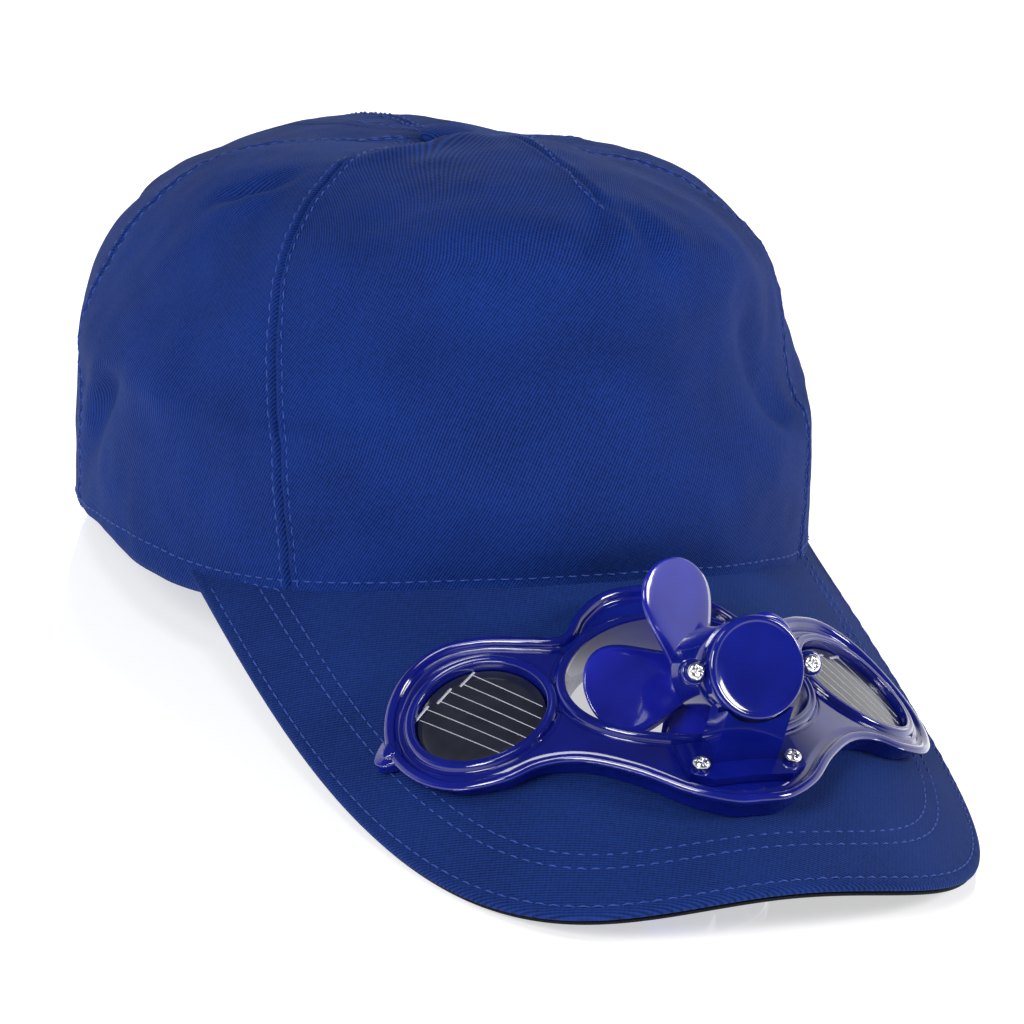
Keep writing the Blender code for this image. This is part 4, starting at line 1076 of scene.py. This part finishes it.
web_loops = [inward(outline, 0.0044), inward(hole_loop, -0.0032)]
web_loops += [inward(loop, -0.0032) for loop in cell_loops]
parts.append(flat_fill(web_loops, 0.00547, 0.003))
plate_points, plate_faces = gather(*parts)
plate = mesh_piece("fan_frame_moulding", plate_points, plate_faces)
shape = bmesh.new()
shape.from_mesh(plate.data)
bmesh.ops.recalc_face_normals(shape, faces=shape.faces)
shape.to_mesh(plate.data)
shape.free()
plate.data.materials.append(blue_plastic)
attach(plate, "cap")
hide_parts("fan_frame")

# The solar cells: round dark wafers sunk in their rings, each with six silver collector
# lines that run from a stepped bar.
CELL_FLOOR = 0.0030
CELL_THICKNESS = 0.0010
WAFER_STEPS = 72
LINE_WIDTH = 0.00022
LINE_GAP = 0.0030
LINE_TURN = math.radians(58.5)
cell_glass = bpy.data.materials.new("cell_glass")
cell_glass.use_nodes = True
cell_tree = cell_glass.node_tree
cell_shader = cell_tree.nodes["Principled BSDF"]
cell_shader.inputs["Coat Weight"].default_value = 0.7
cell_shader.inputs["Coat Roughness"].default_value = 0.05
cell_shader.inputs["Roughness"].default_value = 0.28
grain = cell_tree.nodes.new("ShaderNodeTexNoise")
grain.inputs["Scale"].default_value = 260.0
grain.inputs["Detail"].default_value = 5.0
cell_place = cell_tree.nodes.new("ShaderNodeTexCoord")
cell_tree.links.new(cell_place.outputs["Object"], grain.inputs["Vector"])
grain_colour = cell_tree.nodes.new("ShaderNodeMix")
grain_colour.data_type = "RGBA"
grain_colour.inputs["A"].default_value = (0.004, 0.005, 0.010, 1.0)
grain_colour.inputs["B"].default_value = (0.022, 0.024, 0.040, 1.0)
cell_tree.links.new(grain.outputs["Fac"], grain_colour.inputs["Factor"])
cell_tree.links.new(grain_colour.outputs["Result"], cell_shader.inputs["Base Color"])
silver = bpy.data.materials.new("silver_print")
silver.use_nodes = True
silver_tree = silver.node_tree
silver_shader = silver_tree.nodes["Principled BSDF"]
silver_shader.inputs["Metallic"].default_value = 0.6
silver_shader.inputs["Base Color"].default_value = (0.62, 0.63, 0.68, 1.0)
silver_noise = silver_tree.nodes.new("ShaderNodeTexNoise")
silver_noise.inputs["Scale"].default_value = 900.0
silver_range = silver_tree.nodes.new("ShaderNodeMapRange")
silver_range.inputs["To Min"].default_value = 0.3
silver_range.inputs["To Max"].default_value = 0.6
silver_tree.links.new(silver_noise.outputs["Fac"], silver_range.inputs["Value"])
silver_tree.links.new(silver_range.outputs["Result"], silver_shader.inputs["Roughness"])


def printed_bar(start, end, width):
    """A thin raised strip of print between two places on the blank."""
    start, end = np.array(start), np.array(end)
    ahead = (end - start) / np.linalg.norm(end - start)
    aside = np.array([-ahead[1], ahead[0]]) * width / 2
    steps = np.linspace(0, 1, 9)[:, None]
    middle = start + (end - start) * steps
    top = CELL_FLOOR + CELL_THICKNESS + 0.00005
    rows = [(middle - aside, top - 0.0001), (middle - 0.8 * aside, top),
            (middle + 0.8 * aside, top), (middle + aside, top - 0.0001)]
    points = np.array([bent(row[:, 0], row[:, 1], np.full(9, h), CLEARANCE, True)
                       for row, h in rows])
    return points.reshape(-1, 3), grid_faces(4, 9).tolist()


for side, node in ((1, "solar_cell_left"), (-1, "solar_cell_right")):
    loop = oval(side * CELL_SPACING, CELL_CENTRE, CELL_RADIUS, CELL_RADIUS, WAFER_STEPS)
    top = CELL_FLOOR + CELL_THICKNESS
    section = ((0.006, CELL_FLOOR), (0.0, CELL_FLOOR), (0.0, top - 0.0002), (0.0002, top),
               (0.003, top), (0.006, top), (0.009, top), (0.0115, top), (0.01335, top))
    wafer_points, wafer_faces = swept(loop, section)
    last = len(section) * WAFER_STEPS
    wafer_faces.append(tuple(range(last - WAFER_STEPS, last)))
    wafer = mesh_piece("cell_wafer_" + node.split("_")[-1], wafer_points, wafer_faces)
    wafer.data.materials.append(cell_glass)
    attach(wafer, "cap")
    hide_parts(node)
    ahead = np.array([math.cos(LINE_TURN), math.sin(LINE_TURN)])
    aside = np.array([ahead[1], -ahead[0]])
    centre = np.array([side * CELL_SPACING, CELL_CENTRE])
    bars = []
    for index in range(6):
        off = (2.5 - index) * LINE_GAP + 0.0012
        half = math.sqrt((CELL_RADIUS - 0.0004) ** 2 - off**2)
        lead = min(half, 0.0098 + 0.0014 * (index // 2))
        middle = centre + aside * off
        bars.append(printed_bar(middle - ahead * lead, middle + ahead * half * 0.97, LINE_WIDTH))
    for step in range(3):
        off = (1.5 - 2 * step) * LINE_GAP + 0.0012 + LINE_GAP / 2
        lead = 0.0098 + 0.0014 * step
        middle = centre + aside * off - ahead * (lead - 0.0004)
        half = 0.55 * LINE_GAP + 0.0007
        bars.append(printed_bar(middle - aside * half, middle + aside * half, 0.0007))
    print_points, print_faces = gather(*bars)
    prints = mesh_piece("cell_print_" + node.split("_")[-1], print_points, print_faces)
    prints.data.materials.append(silver)
    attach(prints, "cap")

# The end tab: a small pointed leaf of the same plastic beside the frame's right end, with
# a raised three-sided face.
TAB_LENGTH = 0.0065
TAB_HALF_WIDTH = 0.0045
TAB_OUTLINE = ((1.00, 0.40), (0.95, 0.00), (0.50, -0.70), (0.00, -1.00), (0.00, 1.00), (0.70, 0.85))
TAB_FACET = ((0.80, 0.34), (0.22, -0.52), (0.20, 0.66))
TAB_STEPS = 72
TAB_TUCK = 0.0034
TAB_LIFT = 0.0012
tab_edge = -FRAME_HALF_LENGTH - CLEARANCE + TAB_TUCK
tab_middle = CELL_CENTRE - 0.4 * TAB_HALF_WIDTH


def tab_reach(corners, rounds, centre, angles):
    """How far a corner-cut outline lies from its centre in each direction."""
    loop = np.array([(tab_edge - out * TAB_LENGTH, tab_middle + across * TAB_HALF_WIDTH)
                     for out, across in corners])
    for _ in range(rounds):
        after = np.roll(loop, -1, axis=0)
        loop = np.stack([0.75 * loop + 0.25 * after, 0.25 * loop + 0.75 * after], axis=1)
        loop = loop.reshape(-1, 2)
    loop = even(loop, 720, True) - centre
    bearing = np.arctan2(loop[:, 1], loop[:, 0])
    order = np.argsort(bearing)
    return np.interp(angles, bearing[order], np.linalg.norm(loop, axis=1)[order],
                     period=2 * math.pi)


tab_centre = np.array([tab_edge - 0.42 * TAB_LENGTH, tab_middle + 0.08 * TAB_HALF_WIDTH])
tab_angles = np.linspace(-math.pi, math.pi, TAB_STEPS, endpoint=False)
leaf = tab_reach(TAB_OUTLINE, 2, tab_centre, tab_angles)
facet = tab_reach(TAB_FACET, 2, tab_centre, tab_angles)
tab_section = [(leaf, 0.0001), (leaf, 0.0016), (0.985 * leaf, 0.0021), (0.95 * leaf, 0.0024),
               (0.90 * leaf, 0.00255), (1.12 * facet, 0.0026), (1.03 * facet, 0.0027),
               (facet, 0.0031), (0.94 * facet, 0.0033), (0.6 * facet, 0.00335),
               (0.2 * facet, 0.0034)]
tab_ways = np.stack([np.cos(tab_angles), np.sin(tab_angles)], axis=-1)
tab_rows = np.array([bent(row[:, 0], row[:, 1], np.full(TAB_STEPS, height), TAB_LIFT)
                     for row, height in ((tab_centre + tab_ways * reach[:, None], height)
                                         for reach, height in tab_section)])
tab_faces = grid_faces(len(tab_section), TAB_STEPS, closed=True).tolist()
tab_faces.append(tuple(range((len(tab_section) - 1) * TAB_STEPS, len(tab_section) * TAB_STEPS)))
tab = mesh_piece("leaf_tab", tab_rows, tab_faces)
tab.data.materials.append(blue_plastic)
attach(tab, "cap")
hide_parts("end_tab")

# The motor bracket: a moulded flange screwed to the frame's front lobe, with a post that
# carries the motor and is hollowed to its round shell.
bracket = frame["nodes"]["motor_bracket"]
bracket.data.materials.clear()
bracket.data.materials.append(blue_plastic)
soften = bracket.modifiers.new("rounded", "BEVEL")
soften.width = 0.00035
soften.segments = 3
soften.limit_method = "ANGLE"
soften.angle_limit = math.radians(38)

# The motor's shell and cap: a round tube closed by a shallow cap with a fine bead round its
# face and two screw ears.
HOUSING_RADIUS = 0.0095
HOUSING_BACK = 0.0090
HOUSING_FRONT = 0.0262
CAP_RADIUS = 0.0108
CAP_FRONT = 0.0312
EAR_RADIUS = 0.0028
EAR_THICKNESS = 0.0024
SCREW_HEAD_RADIUS = 0.0019
cap_back = HOUSING_FRONT + CLEARANCE
housing_profile = ([(0.0014, HOUSING_BACK + 0.004), (0.0014, HOUSING_BACK),
                    (0.0082, HOUSING_BACK)]
                   + arc_steps(HOUSING_RADIUS - 0.0008, HOUSING_BACK + 0.0008, 0.0008, 0.0008,
                               -90, 0, 6)
                   + [(HOUSING_RADIUS, HOUSING_FRONT - 0.006), (HOUSING_RADIUS, HOUSING_FRONT),
                      (0.0002, HOUSING_FRONT)])
housing = mesh_piece("motor_shell", *turned(housing_profile, motor_pose))
housing.data.materials.append(blue_plastic)
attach(housing, "cap")
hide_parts("motor_housing")

cap_profile = [(0.0002, cap_back), (CAP_RADIUS - 0.0002, cap_back),
               (CAP_RADIUS, cap_back + 0.0003)]
cap_profile += arc_steps(CAP_RADIUS - 0.0007, CAP_FRONT - 0.0006, 0.0007, 0.0007, 0, 90, 7)
cap_profile += [(CAP_RADIUS - 0.0010, CAP_FRONT + 0.00008),
                (CAP_RADIUS - 0.0013, CAP_FRONT - 0.00005),
                (CAP_RADIUS - 0.0016, CAP_FRONT - 0.00018),
                (CAP_RADIUS - 0.004, CAP_FRONT - 0.00012),
                (0.0035, CAP_FRONT - 0.00008), (0.0002, CAP_FRONT - 0.00006)]
ear_reach = CAP_RADIUS + SCREW_HEAD_RADIUS + 2 * CLEARANCE
cap_shapes = [turned(cap_profile, motor_pose)]
for side in (-1, 1):
    ear_pose = motor_pose @ Matrix.Translation((side * ear_reach, 0, cap_back))
    ear_profile = ([(0.0002, 0), (EAR_RADIUS - 0.0002, 0), (EAR_RADIUS, 0.0003)]
                   + arc_steps(EAR_RADIUS - 0.0005, EAR_THICKNESS - 0.0005, 0.0005, 0.0005,
                               0, 90, 6)
                   + [(0.0002, EAR_THICKNESS)])
    cap_shapes.append(turned(ear_profile, ear_pose, 32))
cap_points, cap_faces = gather(*cap_shapes)
motor_cap = mesh_piece("motor_cover", cap_points, cap_faces)
motor_cap.data.materials.append(blue_plastic)
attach(motor_cap, "cap")
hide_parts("motor_cap")

# The four screws: bright steel pan heads with a cross recess.
steel = bpy.data.materials.new("bright_steel")
steel.use_nodes = True
steel_tree = steel.node_tree
steel_shader = steel_tree.nodes["Principled BSDF"]
steel_shader.inputs["Metallic"].default_value = 1.0
steel_shader.inputs["Base Color"].default_value = (0.72, 0.72, 0.75, 1.0)
steel_noise = steel_tree.nodes.new("ShaderNodeTexNoise")
steel_noise.inputs["Scale"].default_value = 1400.0
steel_range = steel_tree.nodes.new("ShaderNodeMapRange")
steel_range.inputs["To Min"].default_value = 0.12
steel_range.inputs["To Max"].default_value = 0.35
steel_tree.links.new(steel_noise.outputs["Fac"], steel_range.inputs["Value"])
steel_tree.links.new(steel_range.outputs["Result"], steel_shader.inputs["Roughness"])

SCREW_HEAD_HEIGHT = 0.0012
SCREW_SHANK_RADIUS = 0.0009
SCREW_SPACING = 0.0098
SCREW_SETBACK = 0.0045
FLANGE_FRONT = 0.0755
FLANGE_THICKNESS = 0.0018
WEB_TOP = 0.0055
flange_top = ((WEB_TOP + CLEARANCE + FLANGE_THICKNESS)
              * (1 - FRAME_END_DROP * (SCREW_SPACING / FRAME_HALF_LENGTH) ** 2) + CLEARANCE)
screw_angle = SCREW_SPACING / PEAK_BEND_RADIUS
screw_seats = {}
for side, node in ((1, "left"), (-1, "right")):
    radius = PEAK_BEND_RADIUS + flange_top
    screw_seats["bracket_screw_" + node] = (
        peak_pose @ Matrix.Translation((side * radius * math.sin(screw_angle),
                                        -(FLANGE_FRONT - SCREW_SETBACK),
                                        radius * math.cos(screw_angle) - PEAK_BEND_RADIUS))
        @ Matrix.Rotation(side * screw_angle, 4, "Y") @ Matrix.Translation((0, 0, 2 * CLEARANCE)))
    screw_seats["cap_screw_" + node] = motor_pose @ Matrix.Translation(
        (side * ear_reach, 0, cap_back + EAR_THICKNESS + CLEARANCE))
for node, seat in screw_seats.items():
    profile = [(0.00003, 0.00055), (0.0006, 0.00105), (0.0009, SCREW_HEAD_HEIGHT),
               (0.0013, 0.00108), (0.0017, 0.0008), (SCREW_HEAD_RADIUS, 0.00045),
               (SCREW_HEAD_RADIUS, 0.0001), (0.0018, 0), (SCREW_SHANK_RADIUS, 0),
               (SCREW_SHANK_RADIUS, -FLANGE_THICKNESS), (0.00003, -FLANGE_THICKNESS)]
    rows = turned_rows(profile, Matrix.Identity(4), 48)
    angle = np.linspace(0, 2 * math.pi, 48, endpoint=False)
    slot = np.exp(-((np.minimum(np.abs(np.sin(2 * angle)), 1) / 0.42) ** 2))
    for row, depth in ((1, 0.55), (2, 0.5), (3, 0.18)):
        rows[row, :, 2] -= 0.0011 * depth * slot
    screw = mesh_piece(node + "_steel", to_world(rows.reshape(-1, 3), seat)[None],
                       grid_faces(len(profile), 48, True)[:, ::-1])
    screw.data.materials.append(steel)
    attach(screw, "cap")
    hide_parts(node)

# The fan: hub and four paddle blades moulded in one, thin and slightly see-through, on a
# steel shaft from the motor.
HUB_RADIUS = 0.0050
HUB_BACK = 0.0045
HUB_FRONT = 0.0060
FAN_RADIUS = 0.0250
BLADE_HALF_WIDTH = 0.0103
BLADE_ROOT_SHARE = 0.42
BLADE_TIP_SHARE = 1.32
BLADE_TIP_POWER = 6
BLADE_TIP_FILL = 1.02
BLADE_PITCH = math.radians(-20.0)
BLADE_THICKNESS = 0.0012
BLADE_TURN = math.radians(8.0)


def blade_shape(index):
    """One blade, a rounded paddle set at its pitch, thin at its edges."""
    across, reach_share = np.meshgrid(np.linspace(-0.5, 0.5, 19), np.linspace(0, 1, 34))
    root = 0.6 * HUB_RADIUS
    swell = np.sin(reach_share * math.pi / 2)
    reach = root + (FAN_RADIUS - root) * swell
    fullness = BLADE_ROOT_SHARE + (BLADE_TIP_SHARE - BLADE_ROOT_SHARE) * swell
    width = BLADE_HALF_WIDTH * fullness * np.sqrt(BLADE_TIP_FILL - swell**BLADE_TIP_POWER)
    side = 2 * across * width
    out = np.sqrt(np.maximum(reach**2 - side**2, root**2 / 4))
    thick = BLADE_THICKNESS / 2 * np.sqrt(np.maximum(1 - np.abs(2 * across) ** 5, 0.0))
    thick = thick * np.sqrt(np.maximum(1.02 - reach_share**8, 0.02))
    sheets = []
    for face in (1, -1):
        lift = face * thick
        local = np.stack([side * math.cos(BLADE_PITCH) - lift * math.sin(BLADE_PITCH), out,
                          side * math.sin(BLADE_PITCH) + lift * math.cos(BLADE_PITCH)], axis=-1)
        sheets.append(local[:, ::face])
    turn = Matrix.Rotation(math.pi / 2 * index + BLADE_TURN, 4, "Z")
    wrapped = np.concatenate(sheets, axis=1)
    points = to_world(wrapped.reshape(-1, 3), motor_pose @ turn)
    faces = grid_faces(wrapped.shape[0], wrapped.shape[1], closed=True)[:, ::-1].tolist()
    size = wrapped.shape[1]
    faces.append(tuple(range(size)))
    faces.append(tuple(range(len(points) - size, len(points)))[::-1])
    return points, faces


hub_profile = ([(0.0002, -HUB_BACK), (HUB_RADIUS - 0.0007, -HUB_BACK)]
               + arc_steps(HUB_RADIUS - 0.0006, -HUB_BACK + 0.0006, 0.0006, 0.0006, -90, 0, 5)
               + arc_steps(HUB_RADIUS - 0.0005, HUB_FRONT - 0.0005, 0.0005, 0.0005, 0, 90, 5)
               + [(0.0013, HUB_FRONT), (0.0013, HUB_FRONT - 0.0045)])
fan_shapes = [turned(hub_profile, motor_pose, 48)]
fan_shapes += [blade_shape(index) for index in range(4)]
fan_points, fan_faces = gather(*fan_shapes)
fan = mesh_piece("fan_moulding", fan_points, fan_faces)
fan.data.materials.append(gloss_plastic("fan_plastic", (0.004, 0.006, 0.17, 1.0),
                                        (0.014, 0.020, 0.40, 1.0), 0.13))
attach(fan, "rotor")
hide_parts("fan")
shaft = frame["nodes"]["motor_shaft"]
shaft.data.materials.clear()
shaft.data.materials.append(steel)
